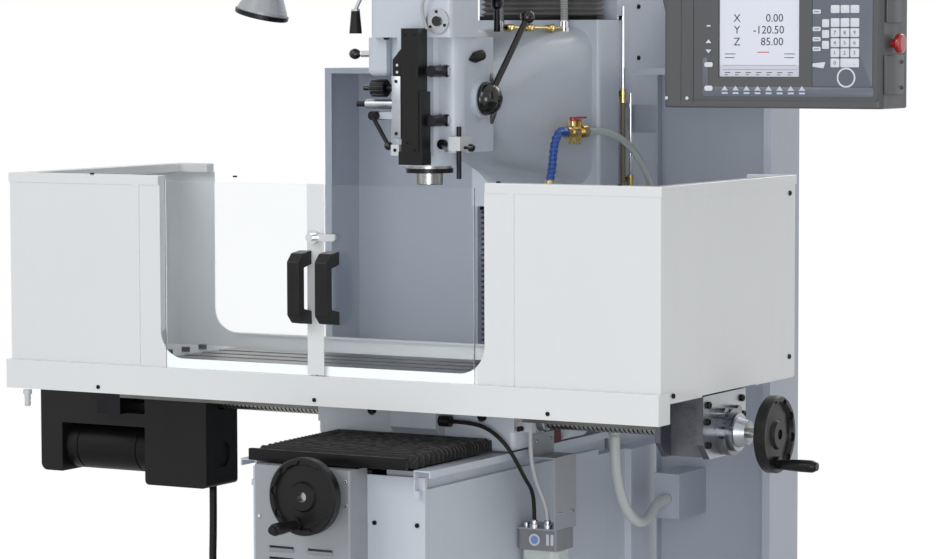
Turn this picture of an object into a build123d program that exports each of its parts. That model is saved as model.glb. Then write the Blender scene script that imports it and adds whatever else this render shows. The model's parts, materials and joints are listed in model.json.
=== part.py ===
from build123d import *
import math
import os

# A CNC bed mill: a cast base and column, a saddle and a table on slides, a quill head on a vertical
# ram slide, a sheet metal guard round the table with two clear doors, a control pendant and a lamp.
# All sizes are millimetres. X runs to the operator's right, Y to the back and Z up.
# The origin lies on the floor, straight under the spindle's axis.

# Running clearances
FIT = 0.05           # a turning shaft in its bearing, on the radius
SLIDE_GAP = 0.3      # one slideway over another
SHEET = 3.0          # wall of the folded sheet metal

# Where the slides stand: the table's centre, counted from the spindle's axis
TABLE_X = -100.0
TABLE_Y = 40.0

# Table
TABLE_LENGTH = 1270.0
TABLE_WIDTH = 254.0
TABLE_TOP = 910.0
TABLE_SLAB = 48.0        # thickness of the slotted top
TABLE_BOTTOM = 814.0     # underside of the slide legs
TABLE_LEG_HALF = 85.0    # outer half width over the slide legs
SLOT_COUNT = 3
SLOT_PITCH = 64.0
SLOT_WIDTH = 16.0
SLOT_NECK = 20.0         # depth of a T-slot's narrow part
SLOT_FOOT_WIDTH = 28.0
SLOT_FOOT = 12.0         # depth of a T-slot's wide part

# Saddle and its dovetail
SADDLE_HALF = 228.0
SADDLE_FRONT = -63.0
SADDLE_BACK = 267.0
SADDLE_SKIRT = 754.0     # lower edge of the skirts beside the ways
DOVETAIL_HALF = 42.0     # half width of the dovetail at its root
DOVETAIL_RISE = 28.0
DOVETAIL_ANGLE = 35.0    # lean of the dovetail's flanks from upright

# Ball screws
SCREW_RADIUS = 16.0
NUT_RADIUS = 30.0
NUT_LENGTH = 90.0
X_SCREW_Z = 810.0
Y_SCREW_Z = 703.0

# Base
BASE_HALF = 190.0
BASE_FRONT = -350.0
BASE_TOP = 700.0
PEDESTAL_HALF = 205.0
PEDESTAL_FRONT = 500.0
BASE_BACK = 900.0
FOOT_HALF = 275.0
FOOT_FRONT = -400.0
FOOT_BACK = 940.0
FOOT_HEIGHT = 50.0
ANCHOR_X = 245.0         # anchor holes from the centre line
ANCHOR_FRONT = -370.0
ANCHOR_BACK = 910.0
ANCHOR_RADIUS = 9.0
WAY_INNER = 100.0        # box ways along Y, half spacings
WAY_OUTER = 165.0
WAY_TOP = 745.0
TROUGH_HALF = 70.0
TROUGH_FLOOR = 640.0
BEARING_BLOCK_HALF = 42.0

# Covers on the base
PANEL_FRONT = -358.0
DRIVE_BOX_FRONT = -424.0
DRIVE_BOX_LEFT = -150.0
DRIVE_BOX_RIGHT = 67.0
DRIVE_BOX_TOP = 750.0
COVER_BOTTOM = 300.0
TRAY_INNER = 181.0
TRAY_OUTER = 215.0
TRAY_TOP = 752.0

# Column
COLUMN_HALF = 150.0
COLUMN_FRONT = 540.0
COLUMN_BACK = 800.0
COLUMN_TOP = 2130.0
Z_WAY_HALF = 120.0       # head of the T-shaped way
Z_WAY_NECK = 92.0
Z_WAY_FRONT = 500.0
Z_WAY_DEPTH = 18.0
Z_SCREW_Y = 580.0
Z_SCREW_BOTTOM = 760.0
Z_WELL_HALF = 45.0       # well in the column that holds the Z screw

# Ram: the casting that slides on the column and carries the head
CARRIAGE_HALF = 156.0
CARRIAGE_FRONT = 446.0
CARRIAGE_BOTTOM = 1212.0
CARRIAGE_TOP = 1611.0
RAM_FRONT = 100.0        # face that the head turns on
RAM_AXIS_Z = 1452.0
RAM_NOSE_RADIUS = 97.0

# Head and quill
QUILL_RADIUS = 44.5
QUILL_TOP = 1560.0
QUILL_CAP_RADIUS = 48.0
QUILL_CAP_TOP = 1312.0
QUILL_CAP = 9.0
NOSE_RADIUS = 27.5
NOSE_BOTTOM = 1279.0
SPINDLE_SHAFT = 25.0
SPINDLE_SPLINE = 15.0
SPINDLE_TOP = 1752.0
SOCKET_RADIUS = 12.06    # straight part of the collet socket
SOCKET_MOUTH = 15.9
SOCKET_TAPER = 24.0
SOCKET_LENGTH = 80.0
HEAD_BOTTOM = 1318.0
HEAD_TOP = 1575.0
CASE_HALF_RIGHT = 92.0
CASE_FRONT = -62.0
HUB_Y = 45.0             # axis of the quill's pinion

# Belt housing and motor
BELT_BOX_HALF = 96.0
BELT_BOX_FRONT = -75.0
BELT_BOX_TOP = 1720.0
BELT_STEP = 1660.0
MOTOR_Y = 150.0
MOTOR_RADIUS = 90.0
MOTOR_HEIGHT = 290.0
BELT_WALL = 5.0

# Guard round the table, from the table's centre
GUARD_HALF = 750.0
GUARD_FRONT = -267.0     # outer face of the front sheet
GUARD_BACK = 346.0
GUARD_TOP = 1298.0
GUARD_CAP = 19.0
APRON_BOTTOM = 852.0
APRON_TOP = 911.0
APRON_PROUD = 15.0
SILL_TOP = 930.0
OPENING_HALF = 375.0
SEAM = 440.0
POST_HALF = 18.0
DOOR_OUTER = 357.0       # door's outer edge, from the guard's centre
DOOR_THICK = 5.0
DOOR_BOTTOM = APRON_TOP + SLIDE_GAP
DOOR_TOP = 1288.0

# Splash pans beside the column
PAN_HALF = 540.0
PAN_INNER = 219.0
PAN_BACK = 615.0
PAN_FRONT = 472.0
PAN_TOP = 1508.0
PAN_BOTTOM = 260.0
PAN_LIP = 14.0

# Bellows
Y_BELLOWS_HALF = 178.0
Y_BELLOWS_FRONT = -401.0
Y_BELLOWS_BOTTOM = 755.0
Y_BELLOWS_TOP = 775.0
Y_PLEATS = 16
Y_REAR_PLEATS = 11
Z_BELLOWS_HALF = 142.0
Z_BELLOWS_FRONT = 462.0
Z_BELLOWS_BACK = 498.0
Z_PLEATS = 30
FOLD = 2.0               # thickness of the bellows' cloth

# Handwheels
WHEEL_RADIUS = 75.0
WHEEL_RIM = 24.0         # width of the rim along its axis
WHEEL_HUB = 22.0
GRIP_RADIUS = 12.0
GRIP_LENGTH = 74.0
GRIP_OFFSET = 58.0       # from the wheel's axis
GRIP_PIN = 5.0
X_WHEEL_FRONT = 756.0    # outer face of the rim, measured along X
Y_WHEEL_FRONT = -490.0
Y_WHEEL_TURN = 252.0     # where the Y wheel's grip stands at rest

# Drive unit at the table's left end
DRIVE_LEFT = -961.0
DRIVE_RIGHT = -533.0
DRIVE_FRONT = -20.0
DRIVE_BACK = 100.0
DRIVE_LOW = 628.0
DRIVE_MOTOR_Z = 697.0
DRIVE_MOTOR_RADIUS = 50.0

# Bearing bracket at the table's right end
BRACKET_OUT = 638.0
BRACKET_WIDTH = 194.0
BEARING_RADIUS = 46.0
BEARING_END = 660.0

# Pendant and its arm
PENDANT_LEFT = 572.0
PENDANT_RIGHT = 1019.0
PENDANT_FRONT = -100.0
PENDANT_BACK = 30.0
PENDANT_BOTTOM = 1441.0
PENDANT_TOP = 1800.0
ARM_X = 205.0
ARM_Y = 660.0
ARM_Z = 1900.0
ARM_TUBE = 25.0

# Smaller sizes, by the piece that they belong to
LOUVRE_ROWS = 5
LOUVRE_TOP = 592.0
LOUVRE_PITCH = 22.0
PAN_TABS = (800.0, 1100.0, 1400.0)
HOOD_LEFT = 268.0
HOOD_RIGHT = 328.0
HOOD_FRONT = 480.0
HOOD_BOTTOM = 560.0
HOOD_TOP = 655.0
CABINET_HALF = 330.0
CABINET_BACK = 1040.0
CABINET_BOTTOM = 720.0
CABINET_TOP = 1660.0
OIL_LINE_X = 160.0
OIL_LINE_Y = 549.0
Y_REAR_END = 458.0
RAIL_TOP = 845.0
SHAFT_RADIUS = 10.0
DRAIN_PORT = (300.0, 235.0, 792.0)
CONDUIT_PORT = (238.0, -14.0, 792.0)
ARCH_RADIUS = 56.0
ARCH_Y = 112.0
ARCH_Z = 758.0
BRACKET_TAB_X = 228.0    # lubricator bracket, against the saddle's side
BRACKET_TAB_TOP = 783.0
BRACKET_SHELF = 592.0
BRACKET_FRONT = 10.0
BRACKET_DEPTH = 90.0
BRACKET_LOW = 762.0      # end brackets of the table
BRACKET_TOP = 886.0
BELT_CASE_TOP = 848.0
BOX_OVER_MOTOR = 750.0
DRIVE_MOTOR_END = -689.0
FLOOR_TOP = 892.0
CORNER_RADIUS = 55.0
CAP_WIDTH = 26.0
PLATE_LAP = 148.0        # how far a floor plate laps over the table's end
BACK_OPEN_HALF = 650.0
BACK_LOW_TOP = 925.0
DOOR_BACK = -270.5
LATCH_X = -98.0
LATCH_Z = 1185.0
HANDLE_BOTTOM = 1013.0
HANDLE_TOP = 1158.0
WHEEL_LOBES = 9
RAM_SECTIONS = (
    (RAM_FRONT, RAM_NOSE_RADIUS, RAM_AXIS_Z - RAM_NOSE_RADIUS,
     RAM_AXIS_Z + RAM_NOSE_RADIUS, RAM_NOSE_RADIUS - 1),
    (160.0, 102.0, 1342.0, 1560.0, 90.0),
    (250.0, 113.0, 1312.0, 1582.0, 80.0),
    (350.0, 128.0, 1288.0, 1592.0, 66.0),
    (CARRIAGE_FRONT, 139.0, 1258.0, 1598.0, 52.0),
)
HANDLE_LEFT = 21.0       # from the guard's centre
HANDLE_RIGHT = 41.0
FEED_BOX_LEFT = -121.0
HUB_ROOT = 104.0
CAP_BOLT_X = 59.0
PIVOT_X = -98.0
PIVOT_Z = 1418.0
LOCK_X = 57.0
LOCK_Z = 1362.0
KNOB_Z = 1473.0
KNOB_FLUTES = 14
LEVER_BALL = (136.0, 165.0, 1616.0)
RANGE_Y = -40.0
RANGE_Z = 1695.0
MOTOR_RIBS = 24
PENDANT_X = 790.0
PENDANT_Y = -30.0
STOP_Y = -50.0
STOP_Z = 1562.0
VALVE_X = 165.0
VALVE_Y = 309.0
VALVE_Z = 1379.0
SPOUT_LINKS = 12
SPOUT_POINTS = ((0, 0), (-30, -4), (-46, -26), (-54, -60), (-66, -96), (-82, -126))

# Lamp
LAMP_PIVOT_X = -190.0
LAMP_ARM_Z = 1880.0
LAMP_X = -562.0
LAMP_Y = 250.0
LAMP_Z = 1642.0


def block(x, y, z):
    """A box between two limits on each axis."""
    size = Box(x[1] - x[0], y[1] - y[0], z[1] - z[0])
    return Pos((x[0] + x[1]) / 2, (y[0] + y[1]) / 2, (z[0] + z[1]) / 2) * size


def rod_x(radius, x, y, z):
    """A cylinder along X."""
    return Pos((x[0] + x[1]) / 2, y, z) * Rot(0, 90, 0) * Cylinder(radius, x[1] - x[0])


def rod_y(radius, x, y, z):
    """A cylinder along Y."""
    return Pos(x, (y[0] + y[1]) / 2, z) * Rot(90, 0, 0) * Cylinder(radius, y[1] - y[0])


def rod_z(radius, x, y, z):
    """A cylinder along Z."""
    return Pos(x, y, (z[0] + z[1]) / 2) * Cylinder(radius, z[1] - z[0])


def rod_between(radius, a, b):
    """A cylinder from one point to another."""
    a, b = Vector(*a), Vector(*b)
    along = b - a
    return Plane(origin=a, z_dir=along) * Pos(0, 0, along.length / 2) * Cylinder(radius, along.length)


def plate_x(points, x):
    """A flat outline in the YZ plane, given thickness along X."""
    face = make_face(Plane.YZ * Polyline(*points, close=True))
    return Pos(x[0], 0, 0) * extrude(face, x[1] - x[0], dir=(1, 0, 0))


def plate_y(points, y):
    """A flat outline in the XZ plane, given thickness along Y."""
    face = make_face(Plane.XZ * Polyline(*points, close=True))
    return Pos(0, y[0], 0) * extrude(face, y[1] - y[0], dir=(0, 1, 0))


def bend_radii(points):
    """For each inner point of a route, an arc that uses 0.45 of the shorter run beside it."""
    radii = []
    for before, here, after in zip(points, points[1:], points[2:]):
        a = Vector(*here) - Vector(*before)
        b = Vector(*after) - Vector(*here)
        half_turn = math.radians(a.get_angle(b)) / 2
        radii.append(0.45 * min(a.length, b.length) / math.tan(half_turn))
    return radii


def tube(name, points, radius):
    """A hose or cable of one diameter along straight runs joined by arcs."""
    radii = bend_radii(points)
    path = FilletPolyline(*points, radius=radii)
    section = Plane(origin=path @ 0, z_dir=path % 0) * Circle(radius)
    solid = sweep(section, path=path)
    expected = math.pi * radius**2 * path.length
    print(f"{name}: {path.length:.0f} mm long, tightest bend {min(radii):.0f} mm,",
          f"volume {solid.volume / expected:.4f} of its section times its length")
    return solid


def edges_up(solid, x=None, y=None):
    """A solid's upright edges, kept by limits on where they stand."""
    found = solid.edges().filter_by(Axis.Z)
    if x is not None:
        found = found.filter_by_position(Axis.X, x[0], x[1])
    if y is not None:
        found = found.filter_by_position(Axis.Y, y[0], y[1])
    return found


def base_casting():
    """Base with a foot flange, box ways along Y, a screw trough and a flat front panel."""
    body = block((-BASE_HALF, BASE_HALF), (BASE_FRONT, PEDESTAL_FRONT), (FOOT_HEIGHT, BASE_TOP))
    body += block((-PEDESTAL_HALF, PEDESTAL_HALF), (PEDESTAL_FRONT, BASE_BACK), (FOOT_HEIGHT, BASE_TOP))
    foot = block((-FOOT_HALF, FOOT_HALF), (FOOT_FRONT, FOOT_BACK), (0, FOOT_HEIGHT))
    body += fillet(edges_up(foot), 30)
    for side in (-1, 1):
        way = sorted((side * WAY_INNER, side * WAY_OUTER))
        body += block(way, (BASE_FRONT + 10, Z_BELLOWS_FRONT - 8), (BASE_TOP, WAY_TOP))
        lip = [(side * BASE_HALF, TRAY_TOP - 40), (side * TRAY_INNER, TRAY_TOP - 40),
               (side * TRAY_INNER, TRAY_TOP - 3), (side * (TRAY_OUTER - 3), TRAY_TOP - 3),
               (side * (TRAY_OUTER - 3), TRAY_TOP - 14), (side * TRAY_OUTER, TRAY_TOP - 14),
               (side * TRAY_OUTER, TRAY_TOP), (side * (TRAY_INNER - 3), TRAY_TOP),
               (side * (TRAY_INNER - 3), BASE_TOP), (side * BASE_HALF, BASE_TOP)]
        body += plate_y(lip, (PANEL_FRONT - 14, SADDLE_BACK + 110))
        for y in (ANCHOR_FRONT, ANCHOR_BACK):
            body -= rod_z(ANCHOR_RADIUS, side * ANCHOR_X, y, (-1, FOOT_HEIGHT + 1))
    body += block((-BASE_HALF - 5, BASE_HALF + 5), (PANEL_FRONT, BASE_FRONT), (COVER_BOTTOM, BASE_TOP + 36))
    trough = (BASE_FRONT + 50, Y_REAR_END - 28)
    body -= block((-TROUGH_HALF, TROUGH_HALF), trough, (TROUGH_FLOOR, BASE_TOP + 1))
    for seat in ((BASE_FRONT, trough[0]), (trough[1], Y_REAR_END)):
        body += block((-BEARING_BLOCK_HALF, BEARING_BLOCK_HALF), seat, (TROUGH_FLOOR, BASE_TOP + 36))
    body -= rod_y(SCREW_RADIUS + FIT, 0, (PANEL_FRONT - 1, Y_REAR_END + 1), Y_SCREW_Z)
    return body


def y_drive_box():
    """Sheet housing of the Y drive on the base's front, with louvres pressed out below the wheel."""
    box = block((DRIVE_BOX_LEFT, DRIVE_BOX_RIGHT), (DRIVE_BOX_FRONT, PANEL_FRONT),
                (COVER_BOTTOM, DRIVE_BOX_TOP))
    box = fillet(edges_up(box, y=(DRIVE_BOX_FRONT - 1, DRIVE_BOX_FRONT + 1)), 4)
    inner = block((DRIVE_BOX_LEFT + SHEET, DRIVE_BOX_RIGHT - SHEET),
                  (DRIVE_BOX_FRONT + SHEET, PANEL_FRONT + 1),
                  (COVER_BOTTOM + SHEET, DRIVE_BOX_TOP - SHEET))
    box -= inner
    for row in range(LOUVRE_ROWS):
        for column in range(2):
            x = DRIVE_BOX_LEFT + 62 + column * 88
            z = LOUVRE_TOP - row * LOUVRE_PITCH
            slope = [(DRIVE_BOX_FRONT + 1, z - 12), (DRIVE_BOX_FRONT - 6, z - 2),
                     (DRIVE_BOX_FRONT + 1, z - 2)]
            box += plate_x(slope, (x - 28, x + 28))
            box -= block((x - 28, x + 28), (DRIVE_BOX_FRONT - 1, DRIVE_BOX_FRONT + SHEET + 1), (z - 2, z + 2))
    boss = rod_y(36, 0, (DRIVE_BOX_FRONT - 14, DRIVE_BOX_FRONT + SHEET), Y_SCREW_Z)
    bearing = rod_y(34, 0, (DRIVE_BOX_FRONT + SHEET, PANEL_FRONT), Y_SCREW_Z)
    box += boss + bearing
    box -= rod_y(SCREW_RADIUS + FIT, 0, (DRIVE_BOX_FRONT - 20, PANEL_FRONT + 1), Y_SCREW_Z)
    return box


def column():
    """Tall box casting with a T-shaped way down its front and a well for the Z screw."""
    body = block((-COLUMN_HALF, COLUMN_HALF), (COLUMN_FRONT, COLUMN_BACK), (BASE_TOP, COLUMN_TOP))
    body = fillet(edges_up(body, y=(COLUMN_BACK - 1, COLUMN_BACK + 1)), 30)
    body += block((-Z_WAY_NECK, Z_WAY_NECK), (Z_WAY_FRONT + Z_WAY_DEPTH, COLUMN_FRONT),
                  (BASE_TOP, COLUMN_TOP))
    body += block((-Z_WAY_HALF, Z_WAY_HALF), (Z_WAY_FRONT, Z_WAY_FRONT + Z_WAY_DEPTH), (BASE_TOP, COLUMN_TOP))
    well = (-Z_WELL_HALF, Z_WELL_HALF)
    body -= block(well, (Z_WAY_FRONT - 1, Z_SCREW_Y + 45), (Z_SCREW_BOTTOM, COLUMN_TOP - 60))
    shelf = block(well, (Z_SCREW_Y - 40, Z_SCREW_Y + 45), (COLUMN_TOP - 60, COLUMN_TOP))
    body += shelf
    body -= rod_z(SCREW_RADIUS + FIT, 0, Z_SCREW_Y, (Z_SCREW_BOTTOM - 40, COLUMN_TOP + 1))
    for side in (-1, 1):
        rib = sorted((side * (COLUMN_HALF - 40), side * COLUMN_HALF))
        body += block(rib, (Z_WAY_FRONT, COLUMN_FRONT), (COLUMN_TOP - 20, COLUMN_TOP))
        body += block(rib, (Z_WAY_FRONT, COLUMN_FRONT), (BASE_TOP, BASE_TOP + 30))
    return body


def z_motor():
    """Servo motor standing on the column over the Z screw."""
    flange = block((-60, 60), (Z_SCREW_Y - 60, Z_SCREW_Y + 60), (COLUMN_TOP, COLUMN_TOP + 12))
    body = block((-52, 52), (Z_SCREW_Y - 52, Z_SCREW_Y + 52), (COLUMN_TOP + 12, COLUMN_TOP + 150))
    body = chamfer(edges_up(body), 12)
    motor = flange + body + rod_z(42, 0, Z_SCREW_Y, (COLUMN_TOP + 150, COLUMN_TOP + 186))
    motor -= rod_z(SCREW_RADIUS + 4, 0, Z_SCREW_Y, (COLUMN_TOP - 1, COLUMN_TOP + 40))
    return motor


def splash_pan(side):
    """Folded sheet pan beside the column, open to the front, with lips folded in round its edge."""
    outline = [(side * PAN_INNER, PAN_BACK), (side * PAN_HALF, PAN_BACK), (side * PAN_HALF, PAN_FRONT),
               (side * (PAN_HALF - PAN_LIP - SHEET), PAN_FRONT),
               (side * (PAN_HALF - PAN_LIP - SHEET), PAN_FRONT + SHEET),
               (side * (PAN_HALF - SHEET), PAN_FRONT + SHEET), (side * (PAN_HALF - SHEET), PAN_BACK - SHEET),
               (side * (PAN_INNER + SHEET), PAN_BACK - SHEET), (side * (PAN_INNER + SHEET), PAN_BACK - 25),
               (side * PAN_INNER, PAN_BACK - 25)]
    face = make_face(Polyline(*outline, close=True))
    pan = Pos(0, 0, PAN_BOTTOM) * extrude(face, PAN_TOP - PAN_BOTTOM, dir=(0, 0, 1))
    width = sorted((side * PAN_INNER, side * PAN_HALF))
    pan += block(width, (PAN_FRONT, PAN_BACK), (PAN_TOP - SHEET, PAN_TOP))
    pan += block(width, (PAN_FRONT, PAN_FRONT + SHEET), (PAN_TOP - 12, PAN_TOP))
    tab = sorted((side * COLUMN_HALF, side * (PAN_INNER + SHEET)))
    for z in PAN_TABS:
        pan += block(tab, (PAN_BACK - SHEET, PAN_BACK), (z - 30, z + 30))
        foot = sorted((side * COLUMN_HALF, side * (COLUMN_HALF + SHEET)))
        pan += block(foot, (PAN_BACK - 18, PAN_BACK), (z - 30, z + 30))
    return pan


def right_splash_pan():
    """The right pan, with the small hood that the hoses enter."""
    pan = splash_pan(1)
    hood = block((HOOD_LEFT, HOOD_RIGHT), (HOOD_FRONT, PAN_BACK - SHEET), (HOOD_BOTTOM, HOOD_TOP))
    hood -= block((HOOD_LEFT + 2, HOOD_RIGHT - 2), (HOOD_FRONT + 2, PAN_BACK),
                  (HOOD_BOTTOM - 1, HOOD_TOP - 30))
    return pan + hood


def electrical_cabinet():
    """Steel cabinet on the back of the column, with one door and a rain lip over it."""
    body = block((-CABINET_HALF, CABINET_HALF), (COLUMN_BACK, CABINET_BACK), (CABINET_BOTTOM, CABINET_TOP))
    body = fillet(edges_up(body, y=(CABINET_BACK - 1, CABINET_BACK + 1)), 6)
    door = block((-CABINET_HALF + 12, CABINET_HALF - 12), (CABINET_BACK, CABINET_BACK + 16),
                 (CABINET_BOTTOM + 15, CABINET_TOP - 15))
    door = fillet(door.edges().group_by(Axis.Y)[-1], 5)
    lip = block((-CABINET_HALF, CABINET_HALF), (CABINET_BACK, CABINET_BACK + 24),
                (CABINET_TOP - 3, CABINET_TOP))
    body += door + lip
    for row in range(8):
        z = CABINET_BOTTOM + 90 + row * 18
        body -= block((-150, 150), (CABINET_BACK + 10, CABINET_BACK + 17), (z, z + 7))
    for z in (CABINET_BOTTOM + 260, CABINET_TOP - 260):
        body += rod_y(13, CABINET_HALF - 45, (CABINET_BACK + 15, CABINET_BACK + 24), z)
        body -= block((CABINET_HALF - 54, CABINET_HALF - 36), (CABINET_BACK + 20, CABINET_BACK + 25),
                      (z - 2, z + 2))
    return body


def oil_lines():
    """Way oil and way wiper lines clipped down the right of the ram's way: steel pipe over braided hose."""
    lines = []
    for x, y, top in ((OIL_LINE_X, OIL_LINE_Y, 1640), (OIL_LINE_X, OIL_LINE_Y + 36, 1455)):
        run = rod_z(3.5, x, y, (top - 175, top))
        run += rod_z(6.5, x, y, (top - 205, top - 175))
        run += rod_z(5.5, x, y, (1010, top - 205))
        for clip in (1030, top - 190, top - 30):
            run += block((COLUMN_HALF, x), (y - 5, y + 5), (clip, clip + 10))
        lines.append(run)
    return lines


def pleats(start, end, count, low, high, thick):
    """Zigzag outline of a bellows along one direction, with its foot at a flat edge."""
    step = (end - start) / count
    top = []
    bottom = []
    for index in range(count):
        at = start + index * step
        top += [(at, low), (at + step / 2, high)]
        bottom += [(at, low - thick), (at + step / 2, high - thick)]
    top.append((end, low))
    bottom.append((end, low - thick))
    return top + bottom[::-1]


def y_bellows():
    """Pleated way covers in front of and behind the saddle, with a stiff frame at each end."""
    covers = []
    spans = ((Y_BELLOWS_FRONT, SADDLE_FRONT, Y_PLEATS), (SADDLE_BACK, Y_REAR_END, Y_REAR_PLEATS))
    for start, end, count in spans:
        fold = pleats(start + 4, end - 4, count, Y_BELLOWS_BOTTOM + 2, Y_BELLOWS_TOP, FOLD)
        cover = plate_x(fold, (-Y_BELLOWS_HALF, Y_BELLOWS_HALF))
        for side in (-1, 1):
            skirt = sorted((side * (Y_BELLOWS_HALF - FOLD), side * Y_BELLOWS_HALF))
            cover += block(skirt, (start + 4, end - 4), (Y_BELLOWS_BOTTOM - 1, Y_BELLOWS_BOTTOM + 3))
        for edge in ((start, start + 4), (end - 4, end)):
            cover += block((-Y_BELLOWS_HALF - 3, Y_BELLOWS_HALF + 3), edge,
                           (Y_BELLOWS_BOTTOM - 1, Y_BELLOWS_TOP + 2))
        covers.append(cover)
    return covers


def z_bellows():
    """Pleated way covers above and below the ram on the column, with a stiff frame at each end."""
    covers = []
    for start, end in ((BASE_TOP, CARRIAGE_BOTTOM), (CARRIAGE_TOP, COLUMN_TOP)):
        fold = pleats(start + 4, end - 4, Z_PLEATS, Z_BELLOWS_BACK - 4, Z_BELLOWS_FRONT + 4, -FOLD)
        outline = [(y, z) for z, y in fold]
        cover = plate_x(outline, (-Z_BELLOWS_HALF, Z_BELLOWS_HALF))
        for edge in ((start, start + 4), (end - 4, end)):
            cover += block((-Z_BELLOWS_HALF - 2, Z_BELLOWS_HALF + 2), (Z_BELLOWS_FRONT, Z_BELLOWS_BACK), edge)
        covers.append(cover)
    return covers


def saddle():
    """Cross slide casting: Y ways below, the X dovetail above, nut bosses for both ball screws."""
    body = block((-SADDLE_HALF, SADDLE_HALF), (SADDLE_FRONT, SADDLE_BACK),
                 (SADDLE_SKIRT, TABLE_BOTTOM - SLIDE_GAP))
    body = fillet(body.edges().filter_by(Axis.Y).group_by(Axis.Z)[0], 22)
    body = fillet(edges_up(body), 10)
    body += block((-WAY_OUTER - 6, WAY_OUTER + 6), (SADDLE_FRONT + 6, SADDLE_BACK - 6),
                  (WAY_TOP + SLIDE_GAP, SADDLE_SKIRT + 20))
    rail_front = TABLE_Y - TABLE_LEG_HALF - SLIDE_GAP
    rail_back = TABLE_Y + TABLE_LEG_HALF + SLIDE_GAP
    body += block((-SADDLE_HALF, SADDLE_HALF), (SADDLE_FRONT, rail_front), (TABLE_BOTTOM - 20, RAIL_TOP))
    body += block((-SADDLE_HALF, SADDLE_HALF), (rail_back, rail_back + 20), (TABLE_BOTTOM - 20, RAIL_TOP))
    lean = DOVETAIL_RISE * math.tan(math.radians(DOVETAIL_ANGLE))
    top = TABLE_BOTTOM + DOVETAIL_RISE
    tail = [(TABLE_Y - DOVETAIL_HALF, TABLE_BOTTOM - 10), (TABLE_Y - DOVETAIL_HALF, TABLE_BOTTOM),
            (TABLE_Y - DOVETAIL_HALF - lean, top), (TABLE_Y + DOVETAIL_HALF + lean, top),
            (TABLE_Y + DOVETAIL_HALF, TABLE_BOTTOM), (TABLE_Y + DOVETAIL_HALF, TABLE_BOTTOM - 10)]
    body += plate_x(tail, (-SADDLE_HALF, SADDLE_HALF))
    box = block((-34, 71), (SADDLE_FRONT - 38, SADDLE_FRONT), (783, RAIL_TOP))
    box = chamfer(box.edges().filter_by(Axis.X).group_by(Axis.Z)[0].sort_by(Axis.Y)[0:1], 14)
    body += box
    body += rod_x(11, (71, 95), SADDLE_FRONT - 20, 812)
    nut = block((-NUT_RADIUS - 6, NUT_RADIUS + 6), (60, 60 + NUT_LENGTH),
                (Y_SCREW_Z - NUT_RADIUS, SADDLE_SKIRT))
    body += fillet(nut.edges().filter_by(Axis.Y).group_by(Axis.Z)[0], 16)
    body -= rod_y(SCREW_RADIUS + FIT, 0, (50, 160 + NUT_LENGTH), Y_SCREW_Z)
    body -= rod_x(SCREW_RADIUS + FIT, (-SADDLE_HALF - 1, SADDLE_HALF + 1), TABLE_Y, X_SCREW_Z)
    arch = rod_x(ARCH_RADIUS, (SADDLE_HALF - 22, SADDLE_HALF + 1), ARCH_Y, ARCH_Z)
    arch &= block((SADDLE_HALF - 30, SADDLE_HALF + 2), (ARCH_Y - 70, ARCH_Y + 70),
                  (SADDLE_SKIRT - 1, ARCH_Z + 70))
    body -= arch
    body += rod_x(ARCH_RADIUS - 12, (SADDLE_HALF - 23, SADDLE_HALF - 10), ARCH_Y, ARCH_Z) & block(
        (SADDLE_HALF - 30, SADDLE_HALF), (ARCH_Y - 70, ARCH_Y + 70), (SADDLE_SKIRT, ARCH_Z + 70))
    port_x, port_y, port_z = DRAIN_PORT
    body += rod_x(13, (SADDLE_HALF - 1, port_x), port_y, port_z) + Pos(*DRAIN_PORT) * Sphere(13)
    body += rod_z(13, port_x, port_y, (port_z - 27, port_z))
    port_x, port_y, port_z = CONDUIT_PORT
    body += block((SADDLE_HALF - 1, port_x + 8), (port_y - 8, port_y + 8), (port_z, port_z + 20))
    for x in (-100, 155):
        body -= rod_y(11, x, (SADDLE_FRONT - 1, SADDLE_FRONT + 8), 823)
        body += rod_y(8, x, (SADDLE_FRONT + 2, SADDLE_FRONT + 9), 823)
    return body


def lubricator_bracket():
    """One folded strip on the saddle's right side: tab, shelf, long upright and lower shelf."""
    x, z = BRACKET_TAB_X, BRACKET_TAB_TOP
    strip = [(x, z), (x, z - 44), (x + 50, z - 44), (x + 50, BRACKET_SHELF), (x - 34, BRACKET_SHELF),
             (x - 34, BRACKET_SHELF + SHEET), (x + 50 - SHEET, BRACKET_SHELF + SHEET),
             (x + 50 - SHEET, z - 44 - SHEET), (x - SHEET, z - 44 - SHEET), (x - SHEET, z)]
    outline = [(a + SHEET, b) for a, b in strip]
    return plate_y(outline, (BRACKET_FRONT, BRACKET_FRONT + BRACKET_DEPTH))


def oil_pump():
    """Metering pump hung under the bracket's shelf, with its sight dial in front and a clear cup below."""
    x, y, z = BRACKET_TAB_X + 10, BRACKET_FRONT + 42, BRACKET_SHELF
    head = block((x - 44, x + 44), (y - 38, y + 38), (z - 42, z))
    head = fillet(edges_up(head), 6)
    head += rod_y(12, x - 4, (y - 41, y - 38), z - 20)
    cup = block((x - 40, x + 40), (y - 34, y + 34), (z - 150, z - 42))
    cup = fillet(edges_up(cup), 16)
    cup = fillet(cup.faces().sort_by(Axis.Z)[0].edges(), 8)
    return head + cup + rod_z(9, x + 20, y, (z - 168, z - 150))


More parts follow.
